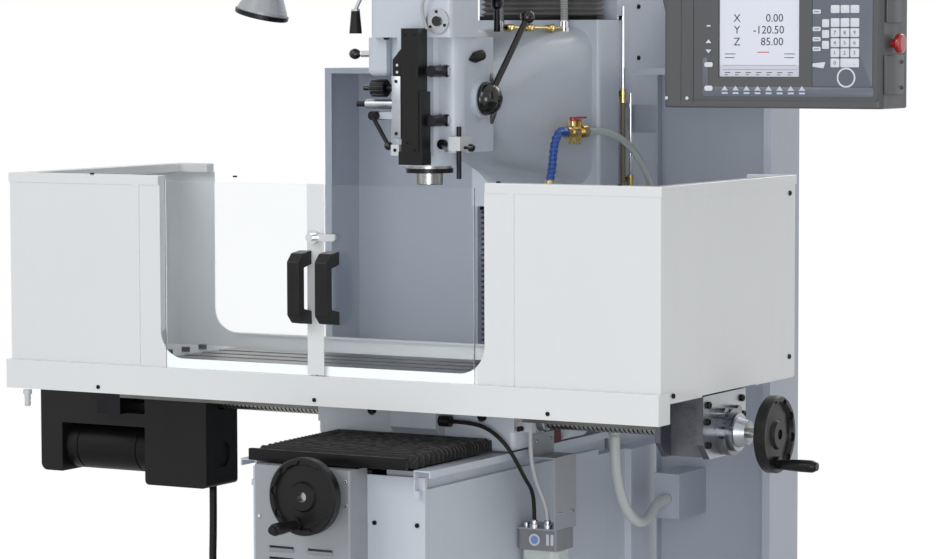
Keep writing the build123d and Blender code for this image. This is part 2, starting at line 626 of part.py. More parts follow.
def table():
    """Work table: T-slots along X, ends set down for the floor plates, slide legs and a dovetail groove."""
    left, right = TABLE_X - TABLE_LENGTH / 2, TABLE_X + TABLE_LENGTH / 2
    front, back = TABLE_Y - TABLE_WIDTH / 2, TABLE_Y + TABLE_WIDTH / 2
    body = block((left, right), (front, back), (TABLE_TOP - TABLE_SLAB, TABLE_TOP))
    body = chamfer(body.edges().filter_by(Axis.X).group_by(Axis.Z)[0], 6)
    body += block((left, right), (TABLE_Y - TABLE_LEG_HALF, TABLE_Y + TABLE_LEG_HALF),
                  (TABLE_BOTTOM, TABLE_TOP - TABLE_SLAB))
    lean = (DOVETAIL_RISE + SLIDE_GAP) * math.tan(math.radians(DOVETAIL_ANGLE))
    half = DOVETAIL_HALF + SLIDE_GAP / math.cos(math.radians(DOVETAIL_ANGLE))
    top = TABLE_BOTTOM + DOVETAIL_RISE + SLIDE_GAP
    groove = [(TABLE_Y - half, TABLE_BOTTOM - 1), (TABLE_Y - half, TABLE_BOTTOM),
              (TABLE_Y - half - lean, top), (TABLE_Y + half + lean, top),
              (TABLE_Y + half, TABLE_BOTTOM), (TABLE_Y + half, TABLE_BOTTOM - 1)]
    body -= plate_x(groove, (left - 1, right + 1))
    for index in range(SLOT_COUNT):
        y = TABLE_Y + (index - (SLOT_COUNT - 1) / 2) * SLOT_PITCH
        body -= block((left - 1, right + 1), (y - SLOT_WIDTH / 2, y + SLOT_WIDTH / 2),
                      (TABLE_TOP - SLOT_NECK - 1, TABLE_TOP + 1))
        body -= block((left - 1, right + 1), (y - SLOT_FOOT_WIDTH / 2, y + SLOT_FOOT_WIDTH / 2),
                      (TABLE_TOP - SLOT_NECK - SLOT_FOOT, TABLE_TOP - SLOT_NECK))
    for seat in ((left - 1, left + PLATE_LAP + 1), (right - PLATE_LAP - 1, right + 1)):
        body -= block(seat, (front - 1, back + 1), (TABLE_TOP - SHEET, TABLE_TOP + 1))
    return body


def end_brackets():
    """The two castings on the table's ends that carry the X screw's bearings."""
    front, back = TABLE_Y - BRACKET_WIDTH / 2, TABLE_Y + BRACKET_WIDTH / 2
    right_end = TABLE_X + TABLE_LENGTH / 2
    right = block((right_end, BRACKET_OUT), (front, back), (BRACKET_LOW, BRACKET_TOP))
    right = chamfer(right.edges().filter_by(Axis.X).group_by(Axis.Z)[0], 30)
    web = block((right_end - 1, BRACKET_OUT - 14), (front - 1, back + 1), (BRACKET_LOW - 1, BRACKET_TOP + 1))
    hollow_x = (right_end + 12, BRACKET_OUT - 14)
    hollow_z = (BRACKET_LOW, BRACKET_TOP - 14)
    right -= web & (block(hollow_x, (front - 1, TABLE_Y - 50), hollow_z)
                    + block(hollow_x, (TABLE_Y + 50, back + 1), hollow_z))
    housing = rod_x(BEARING_RADIUS, (BRACKET_OUT, BEARING_END), TABLE_Y, X_SCREW_Z)
    for side in (-1, 1):
        housing += rod_x(11, (BRACKET_OUT, BEARING_END - 4), TABLE_Y + side * 30, X_SCREW_Z + 38)
    housing += rod_x(37.5, (BEARING_END, BEARING_END + 10), TABLE_Y, X_SCREW_Z)
    housing += Pos(BEARING_END + 20, TABLE_Y, X_SCREW_Z) * Rot(0, 90, 0) * Cone(30, 24, 20)
    right += housing
    right -= rod_x(SCREW_RADIUS + FIT, (right_end - 1, BEARING_END + 31), TABLE_Y, X_SCREW_Z)
    left_end = TABLE_X - TABLE_LENGTH / 2
    left = block((left_end - 60, left_end), (TABLE_Y - TABLE_LEG_HALF, TABLE_Y + TABLE_LEG_HALF),
                 (TABLE_BOTTOM - 36, BRACKET_TOP))
    left = chamfer(left.edges().filter_by(Axis.Y).group_by(Axis.Z)[-1].sort_by(Axis.X)[0:1], 20)
    left -= rod_x(SCREW_RADIUS + FIT, (left_end - 61, left_end + 1), TABLE_Y, X_SCREW_Z)
    return [left, right]


def x_drive_housing():
    """Moulded cover of the X drive: a belt case outside, a box over the motor and a box beside it."""
    case = block((DRIVE_LEFT, DRIVE_LEFT + 56), (DRIVE_FRONT, DRIVE_BACK), (DRIVE_LOW + 16, BELT_CASE_TOP))
    case = fillet(case.edges().filter_by(Axis.Y).sort_by(Axis.X)[0:2], 16)
    left_end = TABLE_X - TABLE_LENGTH / 2
    over = block((DRIVE_LEFT + 56, left_end - 60), (DRIVE_FRONT, DRIVE_BACK), (BOX_OVER_MOTOR, BELT_CASE_TOP))
    under = block((left_end - 60, DRIVE_MOTOR_END), (DRIVE_FRONT, DRIVE_BACK),
                  (BOX_OVER_MOTOR, TABLE_BOTTOM - 36))
    side = block((DRIVE_MOTOR_END, DRIVE_RIGHT), (DRIVE_FRONT, DRIVE_BACK), (DRIVE_LOW, TABLE_BOTTOM))
    side = fillet(side.edges().filter_by(Axis.Y).group_by(Axis.Z)[0], 10)
    body = case + over + under + side
    body -= block((DRIVE_LEFT + 5, DRIVE_LEFT + 51), (DRIVE_FRONT + 5, DRIVE_BACK - 5),
                  (DRIVE_LOW + 22, BELT_CASE_TOP - 5))
    body -= rod_x(SCREW_RADIUS + 4, (DRIVE_LEFT + 50, DRIVE_RIGHT + 1), TABLE_Y, X_SCREW_Z)
    body -= rod_x(DRIVE_MOTOR_RADIUS, (DRIVE_LEFT + 56, DRIVE_MOTOR_END), TABLE_Y, DRIVE_MOTOR_Z)
    body -= rod_x(14, (DRIVE_LEFT + 50, DRIVE_LEFT + 57), TABLE_Y, DRIVE_MOTOR_Z)
    body -= rod_x(30, (DRIVE_RIGHT - 4, DRIVE_RIGHT + 1), TABLE_Y, DRIVE_MOTOR_Z)
    return body


def x_motor():
    """Round servo motor slung under the drive cover, with a toothed pulley on its shaft."""
    start = DRIVE_LEFT + 56
    body = rod_x(DRIVE_MOTOR_RADIUS, (start, DRIVE_MOTOR_END), TABLE_Y, DRIVE_MOTOR_Z)
    body = chamfer(body.edges().filter_by(GeomType.CIRCLE), 3)
    for x in (start + 30, DRIVE_MOTOR_END - 34):
        ring = rod_x(DRIVE_MOTOR_RADIUS + 1, (x, x + 4), TABLE_Y, DRIVE_MOTOR_Z)
        body -= ring - rod_x(DRIVE_MOTOR_RADIUS - 2, (x - 1, x + 5), TABLE_Y, DRIVE_MOTOR_Z)
    body += rod_x(10, (DRIVE_LEFT + 14, start), TABLE_Y, DRIVE_MOTOR_Z)
    body += rod_x(20, (DRIVE_LEFT + 14, DRIVE_LEFT + 40), TABLE_Y, DRIVE_MOTOR_Z)
    return body


def x_screw():
    """X ball screw with the belt pulley on its left end."""
    body = rod_x(SCREW_RADIUS, (DRIVE_LEFT + 14, BEARING_END + 30), TABLE_Y, X_SCREW_Z)
    body += rod_x(30, (DRIVE_LEFT + 14, DRIVE_LEFT + 40), TABLE_Y, X_SCREW_Z)
    body += rod_x(SHAFT_RADIUS, (BEARING_END + 30, X_WHEEL_FRONT - 8), TABLE_Y, X_SCREW_Z)
    return body


def y_screw():
    """Y ball screw, from its rear bearing through the drive box to the handwheel."""
    body = rod_y(SCREW_RADIUS, 0, (DRIVE_BOX_FRONT - 14, Y_REAR_END - 3), Y_SCREW_Z)
    return body + rod_y(SHAFT_RADIUS, 0, (Y_WHEEL_FRONT + 8, DRIVE_BOX_FRONT - 14), Y_SCREW_Z)


def z_screw():
    """Z ball screw in the column's well, with its top in the motor's coupling."""
    body = rod_z(SCREW_RADIUS, 0, Z_SCREW_Y, (Z_SCREW_BOTTOM - 39, COLUMN_TOP + 30))
    return body


def wheel_blank():
    """Lobed dish handwheel about the Z axis: rim at the back, hub raised in the middle."""
    profile = [(SHAFT_RADIUS, 0), (SHAFT_RADIUS, -34), (WHEEL_HUB, -34), (WHEEL_HUB, -16),
               (60, -20), (62, -WHEEL_RIM),
               (WHEEL_RADIUS - 3, -WHEEL_RIM), (WHEEL_RADIUS, -WHEEL_RIM + 3), (WHEEL_RADIUS, -3),
               (WHEEL_RADIUS - 3, 0), (64, 0), (60, -8), (30, -6), (26, 0)]
    face = make_face(Plane.XZ * Polyline(*profile, close=True))
    wheel = revolve(face, Axis.Z)
    for index in range(WHEEL_LOBES):
        angle = index * 360 / WHEEL_LOBES
        wheel -= Rot(0, 0, angle) * Pos(WHEEL_RADIUS - 14, 0, 0) * Cylinder(9, 9)
    pad = Pos(GRIP_OFFSET, 0, -6) * Cylinder(15, 12)
    wheel += pad
    pin = Pos(GRIP_OFFSET, 0, GRIP_LENGTH / 2) * Cylinder(GRIP_PIN, GRIP_LENGTH + 2)
    wheel += pin
    head = Pos(GRIP_OFFSET, 0, GRIP_LENGTH + 2.5) * Cylinder(GRIP_PIN + 3, 3)
    return wheel + head


def grip_blank():
    """Turning grip on the handwheel's pin."""
    r = GRIP_RADIUS
    profile = [(GRIP_PIN + FIT, 0.5), (r - 3, 0.5), (r - 2, 8), (r, GRIP_LENGTH * 0.6), (r, GRIP_LENGTH - 6),
               (r - 3, GRIP_LENGTH + 0.7), (GRIP_PIN + FIT, GRIP_LENGTH + 0.7)]
    face = make_face(Plane.XZ * Polyline(*profile, close=True))
    return Pos(GRIP_OFFSET, 0, 0) * revolve(face, Axis.Z)


def on_x_screw(blank):
    """Set a wheel's piece on the X screw, facing right."""
    return Pos(X_WHEEL_FRONT, TABLE_Y, X_SCREW_Z) * Rot(0, 90, 0) * blank


def on_y_screw(blank):
    """Set a wheel's piece on the Y screw, facing the operator."""
    return Pos(0, Y_WHEEL_FRONT, Y_SCREW_Z) * Rot(90, 0, 0) * Rot(0, 0, Y_WHEEL_TURN) * blank


def guard_apron():
    """Full width front channel of the guard, with a ledge that the doors run on and a floor behind it."""
    left, right = TABLE_X - GUARD_HALF - SHEET, TABLE_X + GUARD_HALF + SHEET
    front = GUARD_FRONT - APRON_PROUD
    table_front = TABLE_Y - TABLE_WIDTH / 2
    sheet = block((left, right), (front, front + SHEET), (APRON_BOTTOM, APRON_TOP))
    sheet = fillet(sheet.edges().filter_by(Axis.X).group_by(Axis.Y)[0].group_by(Axis.Z)[-1], 2)
    sheet += block((left, right), (front, GUARD_FRONT + SHEET), (APRON_TOP - SHEET, APRON_TOP))
    sheet += block((left, right), (front, front + 20), (APRON_BOTTOM, APRON_BOTTOM + SHEET))
    sheet += block((left + SHEET, right - SHEET), (front, table_front), (FLOOR_TOP - SHEET, FLOOR_TOP))
    sheet += block((left + 120, right - 120), (table_front - SHEET, table_front),
                   (FLOOR_TOP - SHEET, FLOOR_TOP + 12))
    for end in ((left, left + SHEET), (right - SHEET, right)):
        sheet += block(end, (front, front + 49), (APRON_BOTTOM, APRON_TOP))
    return sheet


def door_frame():
    """U-shaped front sheet of the guard, with rounded lower corners and a joggled seam each side."""
    blank = block((TABLE_X - SEAM, TABLE_X + SEAM), (GUARD_FRONT, GUARD_FRONT + SHEET),
                  (APRON_TOP, GUARD_TOP - GUARD_CAP))
    gap = block((TABLE_X - OPENING_HALF, TABLE_X + OPENING_HALF), (GUARD_FRONT - 1, GUARD_FRONT + SHEET + 1),
                (SILL_TOP, GUARD_TOP))
    gap = fillet(gap.edges().filter_by(Axis.Y).group_by(Axis.Z)[0], CORNER_RADIUS)
    frame = blank - gap
    for side in (-1, 1):
        inner = TABLE_X + side * OPENING_HALF
        frame += block(sorted((inner, inner + side * SHEET)), (GUARD_FRONT, GUARD_FRONT + 24),
                       (SILL_TOP + CORNER_RADIUS, GUARD_TOP - GUARD_CAP))
        seam = sorted((TABLE_X + side * SEAM, TABLE_X + side * (SEAM - 15)))
        frame += block(seam, (GUARD_FRONT - 2, GUARD_FRONT), (APRON_TOP, GUARD_TOP - GUARD_CAP))
    return frame


def guard_panel(side):
    """End of the guard: front sheet, side sheet, a floor plate on the table's end and a cap along the top."""
    outer = TABLE_X + side * GUARD_HALF
    seam = TABLE_X + side * SEAM
    top = GUARD_TOP - GUARD_CAP
    panel = block(sorted((outer, seam)), (GUARD_FRONT, GUARD_FRONT + SHEET), (APRON_TOP, top))
    end_sheet = sorted((outer, outer - side * SHEET))
    panel += block(end_sheet, (GUARD_FRONT, GUARD_BACK), (APRON_TOP, top))
    panel += block(end_sheet, (GUARD_FRONT + SHEET, GUARD_BACK), (FLOOR_TOP, APRON_TOP))
    opening = TABLE_X + side * (OPENING_HALF + 2)
    back_edge = TABLE_X + side * (BACK_OPEN_HALF + 4)
    front_rail = sorted((outer + side * 2, opening))
    side_rail = sorted((outer + side * 2, outer - side * (CAP_WIDTH - 2)))
    back_rail = sorted((outer + side * 2, back_edge))
    rails = block(front_rail, (GUARD_FRONT - 2, GUARD_FRONT - 2 + CAP_WIDTH), (top, GUARD_TOP))
    rails += block(side_rail, (GUARD_FRONT - 2, GUARD_BACK + 2), (top, GUARD_TOP))
    rails += block(back_rail, (GUARD_BACK + 2 - CAP_WIDTH, GUARD_BACK + 2), (top, GUARD_TOP))
    rails = fillet(rails.edges().group_by(Axis.Z)[-1], 2)
    panel += rails
    end = TABLE_X + side * TABLE_LENGTH / 2
    front, back = TABLE_Y - TABLE_WIDTH / 2, TABLE_Y + TABLE_WIDTH / 2
    depth = (front - 14, back + 14)
    panel += block(sorted((outer, end - side * PLATE_LAP)), depth, (TABLE_TOP - SHEET, TABLE_TOP))
    panel += block(sorted((end, end + side * SHEET)), depth, (FLOOR_TOP, TABLE_TOP - SHEET))
    for index in range(3):
        y = TABLE_Y + (index - 1) * SLOT_PITCH
        panel += rod_z(9, end - side * (PLATE_LAP - 35), y, (TABLE_TOP, TABLE_TOP + 10))
    return panel


def guard_back_wall():
    """Rear sheet of the guard: high at both ends, low in the middle for the ram to pass over."""
    outer = GUARD_HALF
    top = GUARD_TOP - GUARD_CAP
    width = (TABLE_X - outer + SHEET, TABLE_X + outer - SHEET)
    blank = block(width, (GUARD_BACK - SHEET, GUARD_BACK), (FLOOR_TOP, top))
    gap = block((TABLE_X - BACK_OPEN_HALF, TABLE_X + BACK_OPEN_HALF),
                (GUARD_BACK - SHEET - 1, GUARD_BACK + 1), (BACK_LOW_TOP, top + 60))
    gap = fillet(gap.edges().filter_by(Axis.Y).group_by(Axis.Z)[0], CORNER_RADIUS)
    wall = blank - gap
    back = TABLE_Y + TABLE_WIDTH / 2
    wall += block(width, (back, GUARD_BACK), (FLOOR_TOP - SHEET, FLOOR_TOP))
    wall += block((TABLE_X - outer + 120, TABLE_X + outer - 120), (back, back + SHEET),
                  (FLOOR_TOP, FLOOR_TOP + 12))
    wall += block((TABLE_X - BACK_OPEN_HALF + CORNER_RADIUS, TABLE_X + BACK_OPEN_HALF - CORNER_RADIUS),
                  (GUARD_BACK - 14, GUARD_BACK), (BACK_LOW_TOP - SHEET, BACK_LOW_TOP))
    return wall


def door(side):
    """Clear plastic sliding door that runs on the apron's ledge."""
    sheet = block(sorted((TABLE_X + side * 1, TABLE_X + side * DOOR_OUTER)),
                  (DOOR_BACK - DOOR_THICK, DOOR_BACK), (DOOR_BOTTOM, DOOR_TOP))
    return fillet(edges_up(sheet), 1.5)


def door_stile():
    """Folded sheet stile on the left door's meeting edge."""
    x = (TABLE_X - POST_HALF, TABLE_X + POST_HALF + 2)
    front = DOOR_BACK - DOOR_THICK - SHEET
    stile = block(x, (front, front + SHEET), (DOOR_BOTTOM + 2, DOOR_TOP + 1))
    stile = fillet(edges_up(stile, y=(front - 1, front + 1)), 2)
    return stile - block((TABLE_X, x[1] + 1), (front + SHEET - 1, front + SHEET + 1),
                         (DOOR_BOTTOM, DOOR_TOP + 2))


def handle(x, seat):
    """Bridge handle, moulded: two feet and a bowed bar with a rounded inside edge."""
    front = seat - 46
    low, high = HANDLE_BOTTOM, HANDLE_TOP
    outline = [(seat, low), (front + 16, low + 4), (front, low + 20),
               (front, high - 20), (front + 16, high - 4), (seat, high),
               (seat, high - 26), (front + 18, high - 32), (front + 18, low + 32), (seat, low + 26)]
    bar = plate_x(outline, (x - 14, x + 14))
    bar = fillet(bar.edges().filter_by(Axis.X).group_by(Axis.Y)[0], 8)
    return bar


def latch():
    """Turning latch with a short arm that reaches over the right door."""
    y = DOOR_BACK - DOOR_THICK - SHEET
    knob = rod_y(13, LATCH_X, (y - 14, y), LATCH_Z)
    knob += rod_y(8, LATCH_X, (y - 24, y - 14), LATCH_Z)
    arm = block((LATCH_X, LATCH_X + 52), (y - 12, y - 6), (LATCH_Z - 7, LATCH_Z + 7))
    arm = fillet(arm.edges().filter_by(Axis.Y), 5)
    return knob + arm


def ram():
    """Head carrier: a flanged carriage on the column's way and a swelling hollow arm to the head."""
    carriage = block((-CARRIAGE_HALF, CARRIAGE_HALF), (CARRIAGE_FRONT, Z_WAY_FRONT - SLIDE_GAP),
                     (CARRIAGE_BOTTOM, CARRIAGE_TOP))
    carriage = fillet(edges_up(carriage, y=(CARRIAGE_FRONT - 1, CARRIAGE_FRONT + 1)), 8)
    back = Z_WAY_FRONT + Z_WAY_DEPTH + SLIDE_GAP
    for side in (-1, 1):
        keeper = sorted((side * (Z_WAY_HALF + SLIDE_GAP), side * CARRIAGE_HALF))
        carriage += block(keeper, (Z_WAY_FRONT - SLIDE_GAP, back + 18), (CARRIAGE_BOTTOM, CARRIAGE_TOP))
        strip = sorted((side * (Z_WAY_NECK + SLIDE_GAP), side * CARRIAGE_HALF))
        carriage += block(strip, (back, back + 18), (CARRIAGE_BOTTOM, CARRIAGE_TOP))
    nut = block((-32, 32), (Z_WAY_FRONT - SLIDE_GAP - 1, Z_SCREW_Y + 32), (RAM_AXIS_Z - 60, RAM_AXIS_Z + 60))
    carriage += nut
    carriage -= rod_z(SCREW_RADIUS + FIT, 0, Z_SCREW_Y, (RAM_AXIS_Z - 61, RAM_AXIS_Z + 61))
    sections = []
    for y, half, low, high, corner in RAM_SECTIONS:
        outline = RectangleRounded(2 * half, high - low, corner)
        sections.append(Plane(origin=(0, y, (low + high) / 2), x_dir=(1, 0, 0), z_dir=(0, 1, 0)) * outline)
    arm = loft(sections)
    return carriage + arm


def coolant_valve():
    """Ball valve for the coolant on a small bracket at the ram's right side."""
    x, y, z = VALVE_X, VALVE_Y, VALVE_Z
    body = rod_y(10, x, (y - 34, y + 30), z)
    body += rod_y(13, x, (y - 12, y + 12), z)
    body += rod_y(12, x, (y - 34, y - 22), z)
    body += rod_z(6, x, y, (z, z + 22))
    body += rod_y(14, x, (y + 30, y + 52), z)
    plate = block((x - 18, x + 12), (y + 12, y + 15), (z - 26, z + 26))
    body += plate
    arm = block((x - 21, x - 17), (y + 12, CARRIAGE_FRONT), (z - 7, z + 7))
    arm += block((x - 21, x - 10), (y + 12, y + 15), (z - 7, z + 7))
    return body + arm


def coolant_lever():
    """Lever of the coolant valve, standing up when the valve is shut."""
    x, y, z = VALVE_X, VALVE_Y, VALVE_Z
    lever = rod_z(7, x, y, (z + 22.3, z + 27))
    bar = block((x - 6, x + 6), (y - 8, y + 54), (z + 27, z + 31))
    return lever + fillet(edges_up(bar), 4)


def coolant_spout():
    """Segmented plastic coolant hose hanging from the valve: a chain of ball-ended links."""
    links = []
    x, y, z = VALVE_X, VALVE_Y - 36.2, VALVE_Z
    points = SPOUT_POINTS
    route = Spline(*[(x, y + a, z + b) for a, b in points])
    body = None
    for index in range(SPOUT_LINKS):
        at = (index + 0.5) / SPOUT_LINKS
        place = Plane(origin=route @ at, z_dir=route % at)
        link = place * Cone(9.5, 7, route.length / SPOUT_LINKS + 0.8)
        body = link if body is None else body + link
    return body


def head_casting():
    """Quill head: bored casting with a round flange on the ram, a hub boss and the feed box on its left."""
    body = rod_z(62, 0, 0, (HEAD_BOTTOM, HEAD_TOP))
    rear = block((-75, CASE_HALF_RIGHT), (CASE_FRONT + 20, RAM_FRONT), (HEAD_BOTTOM + 27, HEAD_TOP))
    rear = fillet(edges_up(rear, y=(CASE_FRONT + 19, CASE_FRONT + 21)), 26)
    body += rear
    body += block((-30, 38), (BELT_BOX_FRONT, -40), (HEAD_BOTTOM + 22, HEAD_TOP))
    feed_box = block((FEED_BOX_LEFT, -70), (CASE_FRONT + 12, 70), (1497, HEAD_TOP))
    feed_box = fillet(edges_up(feed_box, x=(FEED_BOX_LEFT - 1, FEED_BOX_LEFT + 1)), 22)
    feed_box = fillet(feed_box.faces().sort_by(Axis.Z)[0].edges().filter_by(Axis.Y), 14)
    body += feed_box
    body += rod_x(40, (CASE_HALF_RIGHT - 6, HUB_ROOT), HUB_Y, RAM_AXIS_Z)
    for z in (1410, 1508):
        body += rod_y(15, CAP_BOLT_X, (CASE_FRONT + 14, CASE_FRONT + 21), z)
        body += rod_y(11.5, CAP_BOLT_X, (CASE_FRONT - 34, CASE_FRONT + 14), z)
    body += rod_x(10, (-128, -40), -30, 1441)
    body += rod_x(6, (-150, -128), -30, 1441)
    body += rod_y(9, PIVOT_X, (CASE_FRONT + 8, CASE_FRONT + 30), PIVOT_Z) + block(
        (PIVOT_X - 6, -45), (CASE_FRONT + 16, CASE_FRONT + 40), (PIVOT_Z - 8, PIVOT_Z + 8))
    clamp = block((CASE_HALF_RIGHT - 12, CASE_HALF_RIGHT + 14), (CASE_FRONT, CASE_FRONT + 50), (1350, 1378))
    body += clamp + rod_z(5, CASE_HALF_RIGHT + 6, CASE_FRONT + 10, (1294, 1398))
    body -= rod_z(QUILL_RADIUS + FIT, 0, 0, (HEAD_BOTTOM - 1, QUILL_TOP + 4))
    body -= rod_z(SPINDLE_SHAFT + 2, 0, 0, (QUILL_TOP, HEAD_TOP + 1))
    body -= rod_x(12 + FIT, (CASE_HALF_RIGHT - 30, HUB_ROOT + 1), HUB_Y, RAM_AXIS_Z)
    body -= rod_y(6 + FIT, LOCK_X, (CASE_FRONT + 19, CASE_FRONT + 41), LOCK_Z)
    body -= rod_x(7 + FIT, (-76, -55), -32, KNOB_Z)
    return body


def belt_housing():
    """Belt housing over the head, stepped up behind to carry the motor, with a bearing cap in front."""
    body = block((-BELT_BOX_HALF, BELT_BOX_HALF), (BELT_BOX_FRONT, 30), (HEAD_TOP, BELT_BOX_TOP))
    body += block((-BELT_BOX_HALF, BELT_BOX_HALF), (29, MOTOR_Y + 100), (BELT_STEP, BELT_BOX_TOP))
    body = fillet(edges_up(body, y=(BELT_BOX_FRONT - 1, BELT_BOX_FRONT + 1)), 16)
    body = fillet(edges_up(body, y=(MOTOR_Y + 99, MOTOR_Y + 101)), 60)
    body += rod_z(46, 0, 0, (BELT_BOX_TOP, BELT_BOX_TOP + 10))
    body += rod_z(30, 0, 0, (BELT_BOX_TOP + 10, SPINDLE_TOP + 6))
    body += rod_y(25.5, 64, (BELT_BOX_FRONT - 4, BELT_BOX_FRONT), 1607)
    body += rod_y(10, 64, (BELT_BOX_FRONT - 8, BELT_BOX_FRONT - 4), 1607)
    body += rod_x(16, (-BELT_BOX_HALF - 12, -BELT_BOX_HALF), RANGE_Y, RANGE_Z)
    body -= rod_z(SPINDLE_SPLINE + 3, 0, 0, (HEAD_TOP - 1, SPINDLE_TOP + 2))
    body -= rod_z(44, 0, 0, (HEAD_TOP + 20, BELT_BOX_TOP - BELT_WALL))
    body -= rod_x(6 + FIT, (-BELT_BOX_HALF - 13, -BELT_BOX_HALF + 12), RANGE_Y, RANGE_Z)
    return body


def spindle_motor():
    """Fan cooled motor standing on the belt housing: ribbed body, fan cowl and terminal box."""
    low, high = BELT_BOX_TOP, BELT_BOX_TOP + MOTOR_HEIGHT
    body = rod_z(MOTOR_RADIUS - 7, 0, MOTOR_Y, (low, high - 60))
    for index in range(MOTOR_RIBS):
        angle = index * 360 / MOTOR_RIBS
        rib = Rot(0, 0, angle) * block((MOTOR_RADIUS - 12, MOTOR_RADIUS), (-1.5, 1.5), (low + 14, high - 60))
        body += Pos(0, MOTOR_Y, 0) * rib
    body += rod_z(MOTOR_RADIUS, 0, MOTOR_Y, (low, low + 12))
    cowl = rod_z(MOTOR_RADIUS, 0, MOTOR_Y, (high - 60, high))
    body += fillet(cowl.edges().group_by(Axis.Z)[-1], 12)
    body += block((-45, 45), (MOTOR_Y + MOTOR_RADIUS - 20, MOTOR_Y + MOTOR_RADIUS + 30),
                  (low + 60, low + 150))
    return body


def scale_cover():
    """Black cover of the quill's position scale with its ear and foot, and the bright scale beside it."""
    back = BELT_BOX_FRONT
    front = back - 36
    cover = block((0, 39), (front, back), (HEAD_BOTTOM + 30, HEAD_TOP + 18))
    cover += block((39, 46), (front + 2, back), (HEAD_BOTTOM + 30, 1468))
    cover += block((-8, 47), (front + 2, back), (HEAD_BOTTOM + 4, HEAD_BOTTOM + 30))
    ear = [(1, 1562), (-24, 1536), (-24, 1480), (1, 1480)]
    cover += plate_y(ear, (back - 6, back))
    bar = block((-26, -6), (back - 14, back), (1374, 1498))
    bar += block((-29, -10), (back - 16, back), (1340, 1362))
    bar += block((-22, -12), (back - 8, back), (1361, 1375))
    return [cover, bar]


def quill():
    """Quill sleeve that carries the spindle, closed below by a dark cap ring."""
    body = rod_z(QUILL_RADIUS, 0, 0, (QUILL_CAP_TOP, QUILL_TOP))
    body += rod_z(QUILL_CAP_RADIUS, 0, 0, (QUILL_CAP_TOP - QUILL_CAP, QUILL_CAP_TOP))
    return body - rod_z(SPINDLE_SHAFT + FIT, 0, 0, (QUILL_CAP_TOP - QUILL_CAP - 1, QUILL_TOP + 1))


def spindle():
    """Spindle: nose with a tapered collet socket, shaft in the quill and a splined upper end."""
    nose_top = QUILL_CAP_TOP - QUILL_CAP - SLIDE_GAP
    body = rod_z(NOSE_RADIUS, 0, 0, (NOSE_BOTTOM, nose_top))
    body = chamfer(body.edges().group_by(Axis.Z)[0], 1.5)
    body += rod_z(SPINDLE_SHAFT, 0, 0, (nose_top, QUILL_TOP + 8))
    body += rod_z(SPINDLE_SPLINE, 0, 0, (QUILL_TOP + 8, SPINDLE_TOP))
    mouth = Cone(SOCKET_MOUTH, SOCKET_RADIUS, SOCKET_TAPER)
    body -= Pos(0, 0, NOSE_BOTTOM + SOCKET_TAPER / 2) * mouth
    socket = NOSE_BOTTOM + SOCKET_TAPER
    body -= rod_z(SOCKET_RADIUS, 0, 0, (socket, socket + SOCKET_LENGTH))
    return body


def feed_lever():
    """Quill feed hub on the head's right side, with its long lever and ball."""
    start = HUB_ROOT + SLIDE_GAP
    profile = [(0, start), (34, start), (34, start + 5), (28, start + 16), (18, start + 18), (16, start + 27),
               (8, start + 30), (0, start + 30)]
    face = make_face(Polyline(*[(x, r) for r, x in profile], close=True))
    hub = Pos(0, HUB_Y, RAM_AXIS_Z) * revolve(face, Axis.X)
    hub += rod_x(12, (CASE_HALF_RIGHT - 28, start), HUB_Y, RAM_AXIS_Z)
    root = (start + 10, HUB_Y + 12, RAM_AXIS_Z + 16)
    hub += rod_between(6.5, root, LEVER_BALL)
    hub += Pos(*LEVER_BALL) * Sphere(15)
    return hub


def quill_lock():
    """Quill clamp: a black cap on the head's front with a bright lever."""
    y = CASE_FRONT + 20 - SLIDE_GAP
    body = rod_y(10, LOCK_X, (y - 9, y), LOCK_Z) + rod_y(6, LOCK_X, (y - 1, y + 20), LOCK_Z)
    return body + rod_between(3.5, (LOCK_X, y - 5, LOCK_Z), (LOCK_X + 21, y - 26, LOCK_Z - 12))


def range_lever():
    """Speed range lever on the belt housing's left side, hanging down, with a tapered grip."""
    x = -BELT_BOX_HALF - 12 - SLIDE_GAP
    body = rod_x(14, (x - 12, x), RANGE_Y, RANGE_Z) + rod_x(6, (x - 1, x + 22), RANGE_Y, RANGE_Z)
    tip = (x - 40, RANGE_Y, RANGE_Z - 112)
    rod = rod_between(4, (x - 6, RANGE_Y, RANGE_Z), (x - 40, RANGE_Y, RANGE_Z - 64))
    grip = Pos(tip[0], tip[1], tip[2] + 25) * Cone(13, 8.5, 50)
    return body + rod + grip


def trip_lever():
    """Feed trip lever on the head's left front: a bowed arm with a ball at its lower end."""
    y = CASE_FRONT + 8 - SLIDE_GAP
    body = rod_y(9, PIVOT_X, (y - 8, y), PIVOT_Z)
    end = (PIVOT_X + 38, y - 6, PIVOT_Z - 60)
    body += rod_between(4.5, (PIVOT_X, y - 6, PIVOT_Z), end)
    return body + Pos(*end) * Sphere(9)


def feed_knob():
    """Knurled feed knob on the head's left side, with the stud that it turns."""
    x = -75 - SLIDE_GAP
    body = rod_x(18, (x - 38, x - 4), -32, KNOB_Z)
    body = chamfer(body.edges().filter_by(GeomType.CIRCLE), 2)
    for index in range(KNOB_FLUTES):
        angle = index * 360 / KNOB_FLUTES
        flute = Rot(angle, 0, 0) * Pos(x - 21, 0, 19) * Rot(0, 90, 0) * Cylinder(2.6, 40)
        body -= Pos(0, -32, KNOB_Z) * flute
    return body + rod_x(5, (x - 58, x - 38), -32, KNOB_Z) + rod_x(7, (x - 5, x + 18), -32, KNOB_Z)


